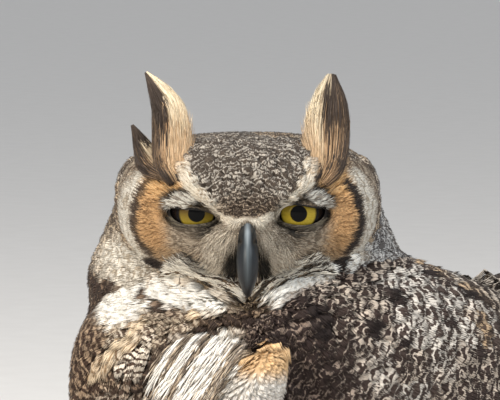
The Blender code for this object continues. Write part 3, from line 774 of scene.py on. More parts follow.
def lie(points, normals):
    """The way each feather lies: out from the middle of the face, then back along the body."""
    away = unit(points - FACE_MIDDLE)
    body = ease(np.linalg.norm(points - HEAD, axis=1), *HEAD_REACH)[:, None]
    way = away * (1 - body) + (unit(BODY_WAY) + 0.25 * away) * body
    across, up, out = on_front(points).T
    side = (np.where(across < 0, -1.0, 1.0) * ease(np.abs(across), 0.0, 9.0))[:, None]
    face, breast = ease(out, 0.0, 8.0), ease(out, -45.0, -25.0)
    bristly = np.maximum(disc(np.abs(across), up, *BRISTLES), disc(across, up, *BILL_TOP))
    swept = side * RIGHT * 0.8 + FRONT_UP * (1.6 * np.abs(side) - 1.0) - FRONT_OUT * 0.3
    for close, there in (
        (bristly * ease(out, 8.0, 14.0), side * RIGHT * 0.45 - FRONT_UP * 0.9),
        (near_line(np.abs(across), up, CHIN_LINE, 4.5, 4.0) * face, swept),
        (near_line(across, up, BIB[1], 5.5, 4.0) * breast, RIGHT * 0.88 + FRONT_UP * 0.42),
        (disc(across, up, *PLUMES) * breast, HANGING),
    ):
        way = way + (there - way) * close[:, None]
    return across_skin(way, normals)


def scatter(density):
    """Random roots over the skin, this many for each square metre of each triangle, and their normals."""
    counts = np.floor(TRI_AREA * density + rng.random(len(TRI_AREA))).astype(int)
    faces = np.repeat(np.arange(len(counts)), counts)
    a, b = rng.random(len(faces)), rng.random(len(faces))
    flip = a + b > 1
    a, b = np.where(flip, 1 - a, a), np.where(flip, 1 - b, b)
    tri = SKIN_POINTS[SKIN_FACES[faces]]
    places = tri[:, 0] + (tri[:, 1] - tri[:, 0]) * a[:, None] + (tri[:, 2] - tri[:, 0]) * b[:, None]
    return places, unit(SKIN_NORMALS[SKIN_FACES[faces]].mean(axis=1))


def thin_out(places, spacing):
    """The indices of roots that keep at least this spacing."""
    tree = KDTree(len(places))
    for i, place in enumerate(places):
        tree.insert(place, i)
    tree.balance()
    taken = np.zeros(len(places), bool)
    kept = []
    for i, place in enumerate(places):
        if not taken[i]:
            kept.append(i)
            taken[[j for _, j, _ in tree.find_range(place, spacing)]] = True
    return np.array(kept)


def walk(places, normals, ways, lengths, shares):
    """Where each feather runs over the skin: places, normals and ways at these shares of its length.

    A feather that would turn round an edge of the skin runs straight on instead.
    """
    rows = [(places, normals, ways)]
    for low, high in zip(shares, shares[1:]):
        place, normal, way = rows[-1]
        ahead = place + way * (lengths * (high - low))[:, None]
        found, up, _ = nearest(SKIN, ahead)
        turned = (dots(up, normal) < EDGE_TURN) & (dots(found - ahead, normal) < 0)
        found, up = np.where(turned, ahead, found), np.where(turned, normal, up)
        up = unit(up + normal)
        rows.append((found, up, across_skin(way, up)))
    return [np.stack(column, axis=1) for column in zip(*rows)]


def normals_of(points, faces):
    cross = np.cross(points[faces[:, 1]] - points[faces[:, 0]], points[faces[:, 2]] - points[faces[:, 0]])
    total = np.zeros_like(points)
    for k in range(3):
        for axis in range(3):
            total[:, axis] += np.bincount(faces[:, k], cross[:, axis], len(points))
    return unit(total)


SKIN_NORMALS = normals_of(SKIN_POINTS, SKIN_FACES)
TRI_MIDDLE = SKIN_POINTS[SKIN_FACES].mean(axis=1)
TRI_NORMAL = unit(SKIN_NORMALS[SKIN_FACES].mean(axis=1))
TRI_EDGES = SKIN_POINTS[SKIN_FACES[:, 1:]] - SKIN_POINTS[SKIN_FACES[:, :1]]
TRI_AREA = np.linalg.norm(np.cross(TRI_EDGES[:, 0], TRI_EDGES[:, 1]), axis=1) / 2
TRI_PART = np.array(FLESH)[parts_at(TRI_MIDDLE)]
TRI_ACROSS, TRI_UP, TRI_OUT = on_front(TRI_MIDDLE).T
TRI_WIDE = np.abs(TRI_ACROSS)

# ---------------------------------------------------------------- an unwrap of the skin, and tufts as mesh

# The skin is laid out in six charts by the way it faces, for the head and for the rest: 4 by 3 cells.
CHART_COLUMNS, CHART_ROWS, CHART_MARGIN = 4, 3, 0.01
# How large each tuft's own patch is on it.
PATCH = 0.003
# No tuft comes lower than this over the floor, in metres, and the skin under them stays higher.
FLOOR_CLEARANCE = 0.0006


def unwrap(points, normals):
    """A place from 0 to 1 both ways on the unwrapped skin, for points that face these ways."""
    axis = np.argmax(np.abs(normals), axis=1)
    front = np.take_along_axis(normals, axis[:, None], 1)[:, 0] > 0
    head = np.linalg.norm(points - HEAD, axis=1) < HEAD_REACH[0]
    chart = axis * 2 + front + 6 * head
    low = np.array(CAD_BOX[0])
    size = np.array(CAD_BOX[1]) - low
    share = np.where(head[:, None], (points - HEAD) / (2 * HEAD_REACH[0]) + 0.5, (points - low) / size.max())
    picks = np.stack([np.choose(axis, [1, 0, 0]), np.choose(axis, [2, 2, 1])], axis=1)
    share = np.clip(np.take_along_axis(share, picks, 1), 0, 1)
    cell = np.stack([chart % CHART_COLUMNS, chart // CHART_COLUMNS], axis=1)
    return (cell + CHART_MARGIN + share * (1 - 2 * CHART_MARGIN)) / (CHART_COLUMNS, CHART_ROWS)


def set_attribute(mesh, name, values, kind="FLOAT_VECTOR", field="vector"):
    layer = mesh.attributes.new(name, kind, "POINT")
    layer.data.foreach_set(field, values.astype(np.float32).ravel())


def dress(mesh, pale, dark, bars, lie_at, uv_of_loop):
    """Gives a mesh of plumage its colours, its bars and its place on the unwrapped skin."""
    for name, colour in (("pale", pale), ("dark", dark)):
        set_attribute(mesh, name, np.column_stack([colour, np.ones(len(colour))]), "FLOAT_COLOR", "color")
    set_attribute(mesh, "bars", bars)
    set_attribute(mesh, "lie", lie_at)
    layer = mesh.uv_layers.new(name="OFBake")
    layer.data.foreach_set("uv", uv_of_loop.astype(np.float32).ravel())


# Cross-sections of a tuft: places across its half width and up its thickness.
SECTIONS = {
    3: ((-1, 0), (0, 1), (1, 0)),
    6: ((-1, 0), (-0.5, 0.75), (0, 1), (0.5, 0.75), (1, 0), (0, -0.3)),
}


def repeated(values, times):
    """Each value this many times over, as rows."""
    return np.repeat(values, times, axis=0).reshape(len(values) * times, -1)


class Coat:
    """Tufts gathered for one piece of the coat."""

    def __init__(self):
        self.rows = []
        self.count = 0

    def add(self, places, sides, normals, widths, thick, section, look, lie_at, across, uv):
        """Adds tufts: rings at all places but the last, which is the tip. Sizes are given for each ring."""
        shape = np.array(SECTIONS[section], float)
        n, rings = len(places), places.shape[1] - 1
        wide = (widths[:, :rings, None] * shape[:, 0])[..., None]
        high = (thick[:, :rings, None] * shape[:, 1])[..., None]
        body = places[:, :rings, None] + sides[:, :rings, None] * wide + normals[:, :rings, None] * high
        verts = np.concatenate([body.reshape(n, -1, 3), places[:, -1:]], axis=1)
        size, last = rings * section + 1, (rings - 1) * section
        tip = [(last + i, last + (i + 1) % section, size - 1) for i in range(section)]
        root = [(0, i + 1, i) for i in range(1, section - 1)]
        faces = np.concatenate([tube_faces(rings, section), tip, root])
        faces = faces + (np.arange(n) * size)[:, None, None] + self.count
        ring_of = np.append(np.repeat(np.arange(rings), section), rings)
        side_of = np.append(np.tile(shape[:, 0], rings), 0.0)
        grid = np.empty((n, size, 3))
        grid[..., 0] = lie_at[0][:, ring_of]
        grid[..., 1] = lie_at[1][:, ring_of] + across[:, None] * side_of
        grid[..., 2] = lie_at[2][:, None]
        uvs = uv[:, None] + np.stack([ring_of / rings - 0.5, side_of / 2], axis=1) * PATCH
        self.rows.append((verts.reshape(-1, 3), faces.reshape(-1, 3), repeated(look.pale, size),
                          repeated(look.dark, size), repeated(look.bars(), size), grid.reshape(-1, 3),
                          uvs.reshape(-1, 2)))
        self.count += n * size

    def piece(self, name, look):
        verts, faces, pale, dark, bars, lie_at, uv = (np.concatenate(column) for column in zip(*self.rows))
        verts[:, 2] = np.maximum(verts[:, 2], FLOOR_CLEARANCE)
        mesh = new_mesh(name, verts, faces)
        dress(mesh, pale, dark, bars, lie_at, uv[faces.ravel()])
        return new_object(name, mesh, look)


def tinted(look, amount):
    """The same plumage, each feather a little lighter or darker."""
    tint = 1 + (rng.random((len(look.share), 1)) - 0.5) * 2 * amount
    look.pale, look.dark = look.pale * tint, look.dark * tint
    return look


BARB_SHARES, BARB_WIDTHS = (0.0, 0.5, 1.0), (0.75, 1.0, 0.0)


def barbs(coat, places, normals, length, width, height, spread=0.25, sink=0.4):
    """Single narrow tufts that lie along the skin, coloured by their place on it. Sizes in millimetres."""
    n = len(places)
    ways = lie(places, normals)
    ways = unit(ways + np.cross(ways, normals) * (rng.random((n, 1)) - 0.5) * 2 * spread)
    length = length * (0.7 + 0.6 * rng.random(n)) * MM
    spots, ups, ways = walk(places, normals, ways, length, BARB_SHARES)
    look = tinted(plumage(spots[:, 1], ups[:, 1]), 0.12)
    height = np.broadcast_to(height, n)[:, None]
    lift = (-sink + (height + sink) * np.array(BARB_SHARES) ** 0.8 * (0.6 + 0.6 * rng.random((n, 1)))) * MM
    spots = spots + ups * lift[..., None]
    wide = np.outer(width * (0.7 + 0.6 * rng.random(n)) / 2 * MM, BARB_WIDTHS)
    coat.add(spots, np.cross(ways, ups), ups, wide, wide * 0.6, 3, look,
             (*face_rings(spots, look.period), np.zeros(n)), np.zeros(n), unwrap(places, normals))


FAN_SHARES = np.array((0.0, 0.6, 1.0))
FAN_SPREAD = np.array((0.3, 1.0, 0.95))
FAN_RISE = np.array((0.0, 0.75, 1.0))
# How uneven a feather's end is, how deep its root lies in millimetres, and how it bends down at its sides.
FRAY, FAN_SINK, CAMBER = 0.16, 0.6, 0.12


def fans(coat, places, normals, length, width, height, count, core=0.0):
    """Whole feathers, each a fan of narrow barbs with a rounded end. Sizes in millimetres.

    core is how much darker a feather is along its middle.
    """
    n = len(places)
    ways = lie(places, normals)
    ways = unit(ways + np.cross(ways, normals) * (rng.random((n, 1)) - 0.5) * 0.3)
    spots, ups, ways = walk(places, normals, ways, length * MM, FAN_SHARES)
    look = tinted(plumage(spots[:, 1], ups[:, 1]), 0.14)
    look.period = look.period * (0.8 + 0.4 * rng.random((n, 1)))
    look.share = np.clip(look.share + 0.08 * rng.standard_normal((n, 1)), 0.02, 0.9)
    across = (np.arange(count) + 0.5) / count * 2 - 1 + (rng.random((n, count)) - 0.5) * 0.9 / count
    short = 1 - 0.34 * across**2 - FRAY * rng.random((n, count))
    lift = -FAN_SINK + (height + FAN_SINK) * FAN_RISE
    lift = lift - CAMBER * (width[:, None] * across**2)[..., None] * FAN_SPREAD
    lift = lift + (rng.random((n, count, 1)) - 0.5) * 0.5 * FAN_RISE
    sides, root = np.cross(ways, ups), spots[:, None, :1]
    path = root + (spots[:, None] - root) * short[..., None, None]
    path = path + sides[:, None] * (across[..., None] * width[:, None, None] / 2 * FAN_SPREAD * MM)[..., None]
    path = path + ups[:, None] * (lift * MM)[..., None]
    owner = np.repeat(np.arange(n), count)
    across, short = across.reshape(-1, 1), short.reshape(-1, 1)
    seed, period, width = (rng.random(n) * 20)[owner], look.period[owner], width[owner]
    reach = FAN_SHARES * short * (length[owner, None] / period)
    sway = across * np.ones(3) * (width[:, None] / 2 / period)
    look = look.pick(owner)
    look.share = np.clip(look.share + core * (0.45 - np.abs(across)), 0.02, 0.95)
    wide = np.outer(width / count * 0.75 * MM, (0.8, 0.95, 0.0))
    coat.add(path.reshape(-1, 3, 3), sides[owner], ups[owner], wide, wide * 0.5, 3, tinted(look, 0.07),
             (reach, sway, seed), width / count / period[:, 0] / 2, unwrap(places, normals)[owner])


STRAND_WIDTHS = (0.8, 1.0, 0.8, 0.0)


def strands(coat, places, normals, ways, look, length, shares, lift, rise, width, tint):
    """Long loose tufts along these ways. Lift and width are a least value and a spread, in millimetres."""
    n = len(places)
    length = length * (0.6 + 0.6 * rng.random(n)) * MM
    spots, ups, ways = walk(places, normals, across_skin(ways, normals), length, shares)
    spots = spots + ups * ((lift[0] + lift[1] * rng.random((n, 1))) * np.array(rise) * MM)[..., None]
    wide = np.outer(width[0] + width[1] * rng.random(n), STRAND_WIDTHS) * MM
    run = np.array(shares) * length[:, None] / MM
    coat.add(spots, np.cross(ways, ups), ups, wide, wide * 0.6, 3, tinted(look, tint),
             (run / look.period, run * 0, rng.random(n) * 20), np.full(n, 0.2), unwrap(places, normals))


VANE_SHARES = (0.0, 0.12, 0.4, 0.7, 0.9, 1.0)
VANE_WIDTHS = np.array((0.3, 0.8, 1.0, 0.94, 0.62, 0.0))


def run_of(spots):
    """How far along its line each spot lies, in millimetres."""
    return np.cumsum(np.linalg.norm(np.diff(spots, axis=1, prepend=spots[:, :1]), axis=2), axis=1) / MM


def vanes(coat, spots, ups, sides, width, look, thick=0.35):
    """Smooth flat feathers along given lines, with a rounded end. Sizes in millimetres."""
    n, run = len(spots), run_of(spots)
    wide = width / 2 * np.interp(run / run[:, -1:], VANE_SHARES, VANE_WIDTHS) * MM
    body = np.minimum(wide * 0.14, thick * MM)
    coat.add(spots, sides, ups, wide, body, 6, look, (run / look.period, run * 0, rng.random(n) * 20),
             width / 2 / look.period[:, 0], unwrap(spots[:, 0], ups[:, 0]))


# ---------------------------------------------------------------- materials


class Nodes:
    """Short names for building a material."""

    def __init__(self, name):
        self.material = bpy.data.materials.new(name)
        self.material.use_nodes = True
        self.tree = self.material.node_tree
        self.inputs = self.tree.nodes["Principled BSDF"].inputs

    def node(self, kind, settings=None, **inputs):
        made = self.tree.nodes.new(kind)
        for key, value in (settings or {}).items():
            setattr(made, key, value)
        for key, value in inputs.items():
            self.put(made.inputs[int(key[1:]) if key[1:].isdigit() else key], value)
        return made

    def put(self, socket, value):
        if isinstance(value, bpy.types.NodeSocket):
            self.tree.links.new(value, socket)
        else:
            socket.default_value = value

    def shade(self, colour, normal=None, **numbers):
        """Feeds the shader its colour and normal, sets numbers on its own sockets, and gives the material."""
        self.put(self.inputs["Base Color"], colour)
        if normal is not None:
            self.put(self.inputs["Normal"], normal)
        for name, value in numbers.items():
            self.inputs[name.replace("_", " ")].default_value = value
        return self.material

    def maths(self, operation, a, b=0.0, c=0.0, clamp=False):
        settings = {"operation": operation, "use_clamp": clamp}
        return self.node("ShaderNodeMath", settings, i0=a, i1=b, i2=c).outputs[0]

    def plus(self, a, b):
        return self.maths("ADD", a, b)

    def minus(self, a, b, clamp=False):
        return self.maths("SUBTRACT", a, b, clamp=clamp)

    def times(self, a, b, clamp=False):
        return self.maths("MULTIPLY", a, b, clamp=clamp)

    def line(self, x, slope, start):
        """The line slope * x + start, kept from 0 to 1."""
        return self.maths("MULTIPLY_ADD", x, slope, start, clamp=True)

    def size_of(self, x):
        return self.maths("ABSOLUTE", x)

    def colour(self, name):
        return self.node("ShaderNodeAttribute", {"attribute_name": name}).outputs["Color"]

    def parts(self, name):
        """The three parts of a vector kept on the mesh."""
        vector = self.node("ShaderNodeAttribute", {"attribute_name": name}).outputs["Vector"]
        return self.node("ShaderNodeSeparateXYZ", None, Vector=vector).outputs[:3]

    def vector(self, x, y, z):
        return self.node("ShaderNodeCombineXYZ", None, X=x, Y=y, Z=z).outputs[0]

    def noise(self, vector, scale, detail=2.0, roughness=0.5):
        values = {"Scale": scale, "Detail": detail, "Roughness": roughness}
        return self.node("ShaderNodeTexNoise", None, Vector=vector, **values).outputs["Fac"]

    def mix(self, share, a, b):
        return self.node("ShaderNodeMix", {"data_type": "RGBA"}, i0=share, i6=a, i7=b).outputs[2]

    def bump(self, height, strength=0.6):
        return self.node("ShaderNodeBump", None, Height=height, Distance=0.0004, Strength=strength).outputs[0]


def plumage_material(name, shade=1.0):
    """Bars, streaks and mottles drawn from each feather's own colours and its place along and across it."""
    m = Nodes(name)
    along, across, seed = m.parts("lie")
    share, wobble, streak = m.parts("bars")
    turned = m.plus(m.times(along, m.minus(1.0, streak)), m.times(across, streak))
    slow = m.times(along, m.minus(1.0, m.times(streak, 0.75)))
    waves = m.noise(m.vector(slow, m.times(across, 0.9), seed), 1.0)
    phase = m.plus(turned, m.times(m.minus(waves, 0.5), m.times(wobble, 2.2)))
    ridge = m.times(m.size_of(m.minus(m.maths("FRACT", phase), 0.5)), 2.0)
    level = m.minus(m.times(share, 1.4), 0.2)
    pale = m.times(m.minus(ridge, level), 5.0, clamp=True)
    colour = m.mix(pale, m.colour("dark"), m.colour("pale"))
    fine = m.noise(m.vector(m.times(along, 3.0), m.times(across, 9.0), seed), 1.0, 3.0, 0.7)
    value = m.times(m.maths("MULTIPLY_ADD", fine, 0.7, 0.65), shade)
    tone = m.node("ShaderNodeHueSaturation", None, Color=colour, Value=value).outputs[0]
    return m.shade(tone, m.bump(fine), Roughness=0.72, Specular_IOR_Level=0.25)


COAT_LOOK = plumage_material("plumage")
# The skin seen between the feathers is darkened to 0.7: painted shade under the coat.
SKIN_LOOK = plumage_material("skin", 0.7)


def eye_material():
    """A yellow iris round a black pupil, darker at its rim, with painted shadow of the upper lid over its top
    as far as lid_shadow says, wet on top.
    """
    m = Nodes("eye")
    x, y, lid_shadow = m.parts("gaze")
    ring = m.maths("SQRT", m.plus(m.times(x, x), m.times(y, y)))
    turn = m.maths("ARCTAN2", y, x)
    rays = m.vector(m.maths("COSINE", turn), m.maths("SINE", turn), m.times(ring, 0.03))
    spots = m.noise(m.vector(x, y, 0.0), 0.8, 3.0, 0.6)
    iris = m.mix(m.noise(rays, 14.0, 4.0, 0.7), (0.25, 0.18, 0.018, 1), (0.52, 0.42, 0.045, 1))
    iris = m.mix(m.times(spots, 0.45), iris, (0.20, 0.10, 0.01, 1))
    # Painted shadow of the upper lid: the iris turns dark brown towards its top.
    iris = m.mix(m.line(y, 0.10, lid_shadow), iris, (0.085, 0.052, 0.014, 1))
    iris = m.mix(m.line(ring, 0.9, -8.0), iris, (0.004, 0.003, 0.003, 1))
    iris = m.mix(m.line(ring, -2.2, 2.2 * PUPIL_RADIUS + 0.5), iris, (0.002, 0.002, 0.002, 1))
    wet = {"Coat_Weight": 0.3, "Coat_IOR": 1.38, "Coat_Roughness": 0.03}
    return m.shade(iris, Roughness=0.6, Specular_IOR_Level=0.0, **wet)


def horn_material(name, pale, dark, tip, cere=None):
    """Slate horn: pale along its ridge as a painted highlight, dark down its sides as painted shade, dark at
    its tip, with fine streaks along it.

    cere is how far along it the soft dark cere ends, where the horn starts with a pale painted highlight on
    its ridge.
    """
    m = Nodes(name)
    across, along, pit = m.parts("horn")
    streaks = m.noise(m.vector(m.times(across, 6.0), m.times(along, 3.0), 0.0), 1.0, 4.0, 0.65)
    # A painted highlight along the ridge, and painted shade down the sides.
    ridge = m.minus(1.0, m.times(m.size_of(across), 2.4), clamp=True)
    ridge = m.times(ridge, m.maths("MULTIPLY_ADD", streaks, 1.3, 0.2), clamp=True)
    colour = m.mix(ridge, (*dark, 1), (*pale, 1))
    colour = m.mix(m.line(along, 2.4, -0.9), colour, (*tip, 1))
    if cere:
        past = m.minus(along, cere)
        # A brighter painted highlight on the ridge just past the cere.
        ridge_highlight = m.line(m.size_of(m.minus(past, 0.09)), -10.0, 1.1)
        colour = m.mix(m.times(ridge_highlight, m.times(ridge, 0.6)), colour, (0.36, 0.40, 0.42, 1))
        colour = m.mix(m.line(past, -40.0, 0.5), colour, (0.060, 0.050, 0.044, 1))
    # The nostril pits are painted nearly black, as painted shade inside them.
    colour = m.mix(pit, colour, (0.001, 0.001, 0.001, 1))
    return m.shade(colour, m.bump(streaks, 0.4), Roughness=0.36, Specular_IOR_Level=0.28)


# ---------------------------------------------------------------- eyes

PUPIL_RADIUS = 4.55


def make_eye(name, centre, lid_shadow):
    """An eyeball with its clear front a little raised, looking slightly down, its top darkened by painted lid
    shadow as far as lid_shadow says.
    """
    top = np.cross(GAZE, RIGHT)
    rings, sides = 58, 72
    tilts = np.linspace(0, math.pi, rings + 2)[1:-1]
    turns = np.linspace(0, 2 * math.pi, sides, endpoint=False)
    tilt, turn = (np.ravel(a) for a in np.meshgrid(tilts, turns, indexing="ij"))
    tilt, turn = np.append(tilt, (0.0, math.pi)), np.append(turn, (0.0, 0.0))
    x, y = np.sin(tilt) * np.cos(turn), np.sin(tilt) * np.sin(turn)
    ways = x[:, None] * RIGHT + y[:, None] * top + np.cos(tilt)[:, None] * GAZE
    places = centre + ways * (EYE_RADIUS - 0.0004 + cornea(ways))[:, None]
    first, after, last = np.arange(sides), (np.arange(sides) + 1) % sides, (rings - 1) * sides
    front, behind = rings * sides + first * 0, rings * sides + 1 + first * 0
    caps = np.stack([front, first, after], 1), np.stack([behind, last + after, last + first], 1)
    mesh = new_mesh(name, places, np.concatenate([tube_faces(rings, sides)[:, [0, 2, 1]], *caps]))
    reach = EYE_RADIUS / MM
    set_attribute(mesh, "gaze", np.column_stack([x * reach, y * reach, np.full_like(x, lid_shadow)]))
    return new_object(name, mesh, EYE_LOOK)


EYE_LOOK = eye_material()
# The last number is how much painted lid shadow darkens the top of each iris.
finish_piece(make_eye("left_eyeball", EYE_LEFT, 0.18), "eye", "eye_left")
finish_piece(make_eye("right_eyeball", EYE_RIGHT, 0.85), "eye", "eye_right")

# ---------------------------------------------------------------- bill and claws

# The bill's middle line as in the solids: up, forward, half width, half depth.
UPPER_BILL = (
    (-0.006, 0.030, 0.0040, 0.0050),
    (-0.010, 0.048, 0.0048, 0.0072),
    (-0.016, 0.0575, 0.0056, 0.0082),
    (-0.023, 0.061, 0.0060, 0.0078),
    (-0.031, 0.0605, 0.0052, 0.0064),
    (-0.038, 0.0585, 0.0031, 0.0040),
    (-0.0428, 0.0560, 0.0006, 0.0008),
)
LOWER_BILL = (
    (-0.018, 0.036, 0.0062, 0.0040),
    (-0.024, 0.046, 0.0056, 0.0038),
    (-0.030, 0.052, 0.0038, 0.0028),
    (-0.034, 0.055, 0.0014, 0.0012),
)
# Nostrils, across and up on the front, and how far down the bill the soft cere reaches.
NOSTRIL, NOSTRIL_RADIUS, CERE_END = (4.7, -21.6), 1.5, 0.17


def smooth_rows(rows, shares):
    """The rows at these shares of the way through them, on cubics."""
    table = np.array(rows, float)
    slope = np.gradient(table, axis=0)
    at = np.array(shares) * (len(table) - 1)
    i = np.minimum(at.astype(int), len(table) - 2)
    s = (at - i)[:, None]
    return ((2 * s**3 - 3 * s**2 + 1) * table[i] + (s**3 - 2 * s**2 + s) * slope[i]
            + (3 * s**2 - 2 * s**3) * table[i + 1] + (s**3 - s**2) * slope[i + 1])


def loft(places, half, deep, sides=32, ridge=0.3):
    """A tapering horn with a raised ridge on its front, closed at both ends: rings, triangles and marks."""
    turn = np.linspace(0, 2 * math.pi, sides, endpoint=False)
    x, y = np.cos(turn), np.sin(turn)
    x = x * (1 - ridge * np.maximum(y, 0) ** 1.5)
    along = unit(np.gradient(places, axis=0))
    out = unit(FORWARD - along * (along @ FORWARD)[:, None])
    wide, high = half[:, None] * x, deep[:, None] * y
    points = places[:, None] + RIGHT * wide[..., None] + out[:, None] * high[..., None]
    n = len(places)
    share = np.linspace(0, 1, n)
    horn = np.stack(np.broadcast_arrays(x + 1.2 * (y < -0.3), share[:, None], 0.0), axis=-1)
    ring, last = np.arange(1, sides - 1), (n - 1) * sides
    root, tip = np.stack([ring * 0, ring + 1, ring], 1), np.stack([ring * 0, ring, ring + 1], 1) + last
    return points, np.concatenate([tube_faces(n, sides), root, tip]), horn.reshape(-1, 3)


def make_bill(name, rows, node):
    shares = np.linspace(0, 1, 70)
    up, forward, half, deep = smooth_rows(rows, shares).T
    places = HEAD + up[:, None] * UP + forward[:, None] * FORWARD
    points, faces, horn = loft(places, half, deep)
    if node == "bill_upper":
        cere = 0.0005 * (1 - ease(shares, CERE_END - 0.02, CERE_END + 0.02))
        middle = places[:, None]
        points = middle + (points - middle) * (1 + cere / np.maximum(half, 0.003))[:, None, None]
        across, high, _ = np.moveaxis(on_front(points), 2, 0)
        pit = np.exp(-((np.hypot(np.abs(across) - NOSTRIL[0], high - NOSTRIL[1]) / NOSTRIL_RADIUS) ** 2))
        pit = pit * (np.sum((points - middle) * FORWARD, axis=2) > 0)
        points = points - (points - middle) * (0.25 * pit)[..., None]
        # The third mark is where the nostrils are painted nearly black as painted shade.
        horn[:, 2] = ease(pit.ravel(), 0.25, 0.75)
    flat = points.reshape(-1, 3)
    volume = np.einsum("ij,ij->i", flat[faces[:, 0]], np.cross(flat[faces[:, 1]], flat[faces[:, 2]])).sum()
    mesh = new_mesh(name, flat, faces if volume > 0 else faces[:, ::-1])
    set_attribute(mesh, "horn", horn)
    finish_piece(new_object(name, mesh, BILL_LOOK), "horn", node)


# The pale colours of bill and claws are painted highlight along their ridges, the dark ones painted shade down
# their sides.
BILL_DARK, BILL_TIP = (0.010, 0.013, 0.016), (0.012, 0.013, 0.015)
BILL_LOOK = horn_material("bill", (0.125, 0.150, 0.162), BILL_DARK, BILL_TIP, CERE_END)
CLAW_LOOK = horn_material("claw", (0.10, 0.105, 0.11), (0.025, 0.026, 0.028), (0.012, 0.012, 0.013))
make_bill("upper_bill", UPPER_BILL, "bill_upper")
make_bill("lower_bill", LOWER_BILL, "bill_lower")

CLAW_VOXEL = 0.0004


def make_claw(node):
    """A claw with the solid's facets smoothed away."""
    mesh = remeshed([welded(node)], CLAW_VOXEL)
    places = relax(mesh_arrays(mesh)[0], edges_of(mesh), 0.5, 6)
    move_points(mesh, places)
    mesh.shade_smooth()
    middle = places.mean(axis=0)
    long = np.linalg.svd(places - middle, full_matrices=False)[2]
    along, across = (places - middle) @ long[0] * np.sign(long[0][1]), (places - middle) @ long[2]
    share = (along.max() - along) / np.ptp(along)
    share = 1 - share if node.endswith("1") else share
    set_attribute(mesh, "horn", np.column_stack([across / np.abs(across).max(), share, share * 0]))
    finish_piece(new_object(node.replace("claw", "talon"), mesh, CLAW_LOOK), "horn", node)


for node in sorted(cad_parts):
    if node.startswith("claw"):
        make_claw(node)

# ---------------------------------------------------------------- the skin and the coat


def show_skin():
    """The skin itself, in the colours of the plumage that grows from it, darkened by its material as painted
    shade under the coat.
    """
    look = plumage(SKIN_POINTS, SKIN_NORMALS)
    mesh = new_mesh("skin", SKIN_POINTS, SKIN_FACES)
    reach, turn = face_rings(SKIN_POINTS, look.period[:, 0])
    places = unwrap(SKIN_POINTS[SKIN_FACES.ravel()], np.repeat(TRI_NORMAL, 3, axis=0))
    dress(mesh, look.pale, look.dark, look.bars(), np.column_stack([reach, turn, reach * 0]), places)
    finish_piece(new_object("skin", mesh, SKIN_LOOK), "plumage_brown", *FLESH)


show_skin()

# The edge of the bare skin at an eye, and of its lids, as shares of its opening.
EYE_EDGE, LID_EDGE = 1.16, 1.9
IS_HEAD, IS_NECK, IS_TRUNK = (TRI_PART == name for name in ("head", "neck", "trunk"))
FRONT_HEAD = IS_HEAD & (TRI_OUT > 4)


def eye_share(across, up):
    """How far out of the nearer eye's opening these places are, as shares of it."""
    return np.minimum(opening(across, up, 1), opening(across, up, -1))


EYE_SHARE = np.where(TRI_OUT > 4, eye_share(TRI_ACROSS, TRI_UP), 9.0)
UNDER_BILL = (TRI_WIDE < 5.6) & (TRI_UP < -15) & (TRI_UP > -47) & (TRI_OUT > 0)
BARE = (EYE_SHARE < EYE_EDGE) | UNDER_BILL
IS_LID = ~BARE & (EYE_SHARE < LID_EDGE)
FLAT_BELOW = (TRI_MIDDLE[:, 2] < 0.004) & (TRI_NORMAL[:, 2] < -0.7)
OVER_BROW = (TRI_UP > on_line(TRI_WIDE, BROW) + 2) & (TRI_WIDE < 38)
IS_CROWN = IS_HEAD & (TRI_OUT > -30) & (OVER_BROW | (TRI_UP > 22))
# Tufts for each square metre of the face, its lids, the bristles, the root of the bill and the plumes.
FACE_DENSITY, LID_DENSITY, BRISTLE_DENSITY = 2.2e6, 4.0e6, 1.3e6
BILL_TOP_DENSITY, PLUME_DENSITY = 2.5e6, 1.2e6
# How many random roots are tried for each root that the spacing leaves room for.
ROOTS_TRIED = 2.2


def make_face():
    """The fine tufts of both halves of the face, shortest on the lids, and the long bristles by the bill."""
    face = FRONT_HEAD & ~IS_CROWN & ~BARE & ~IS_LID
    for name, half in (("face_left", TRI_ACROSS > 0), ("face_right", TRI_ACROSS <= 0)):
        coat = Coat()
        places, normals = scatter(face * half * FACE_DENSITY)
        across, up, _ = on_front(places).T
        near_eye = 1 - ease(eye_share(across, up), 1.8, 2.8)
        short = 1 - 0.5 * np.maximum(near_eye, disc(across, up, (0.0, -8.0), (11.0, 8.0), 0.4))
        barbs(coat, places, normals, 6.0 * short, 0.75 * (0.5 + 0.5 * short), 2.2 * short)
        barbs(coat, *scatter(IS_LID * half * LID_DENSITY), 2.6, 0.5, 0.5, spread=0.2, sink=0.2)
        finish_piece(coat.piece(name, COAT_LOOK), "plumage_tawny")
    bristly = FRONT_HEAD & ~BARE & (TRI_WIDE < 24) & (TRI_UP < -13) & (TRI_UP > -44) & ~IS_LID
    over_bill = FRONT_HEAD & (disc(TRI_ACROSS, TRI_UP, *BILL_TOP) > 0.5)
    coat = Coat()
    barbs(coat, *scatter(bristly * BRISTLE_DENSITY), 10.0, 0.55, 4.2, spread=0.2)
    barbs(coat, *scatter(over_bill * BILL_TOP_DENSITY), 5.0, 0.5, 2.0, spread=0.3)
    finish_piece(coat.piece("bristles", COAT_LOOK), "plumage_pale")


def feather_roots(where, spacing):
    """Roots where the mask says, at this spacing in millimetres, on each face of a thin part."""
    places, normals = scatter(where * ROOTS_TRIED / (spacing * MM) ** 2)
    kept = thin_out(places + normals * spacing * MM, spacing * MM)
    places, normals = places[kept], normals[kept]
    lies_back = (places[:, 1] < 0) | (lie(places, normals) @ unit(BODY_WAY) > 0.3)
    return places[lies_back], normals[lies_back]


def make_plumage(name, where, spacing, length, width, height, count, slot="plumage_brown", **more):
    places, normals = feather_roots(where & ~FLAT_BELOW, spacing)
    size = 0.85 + 0.3 * rng.random(len(places))
    coat = Coat()
    fans(coat, places, normals, length * size, width * size, height, count, **more)
    finish_piece(coat.piece(name, COAT_LOOK), slot)


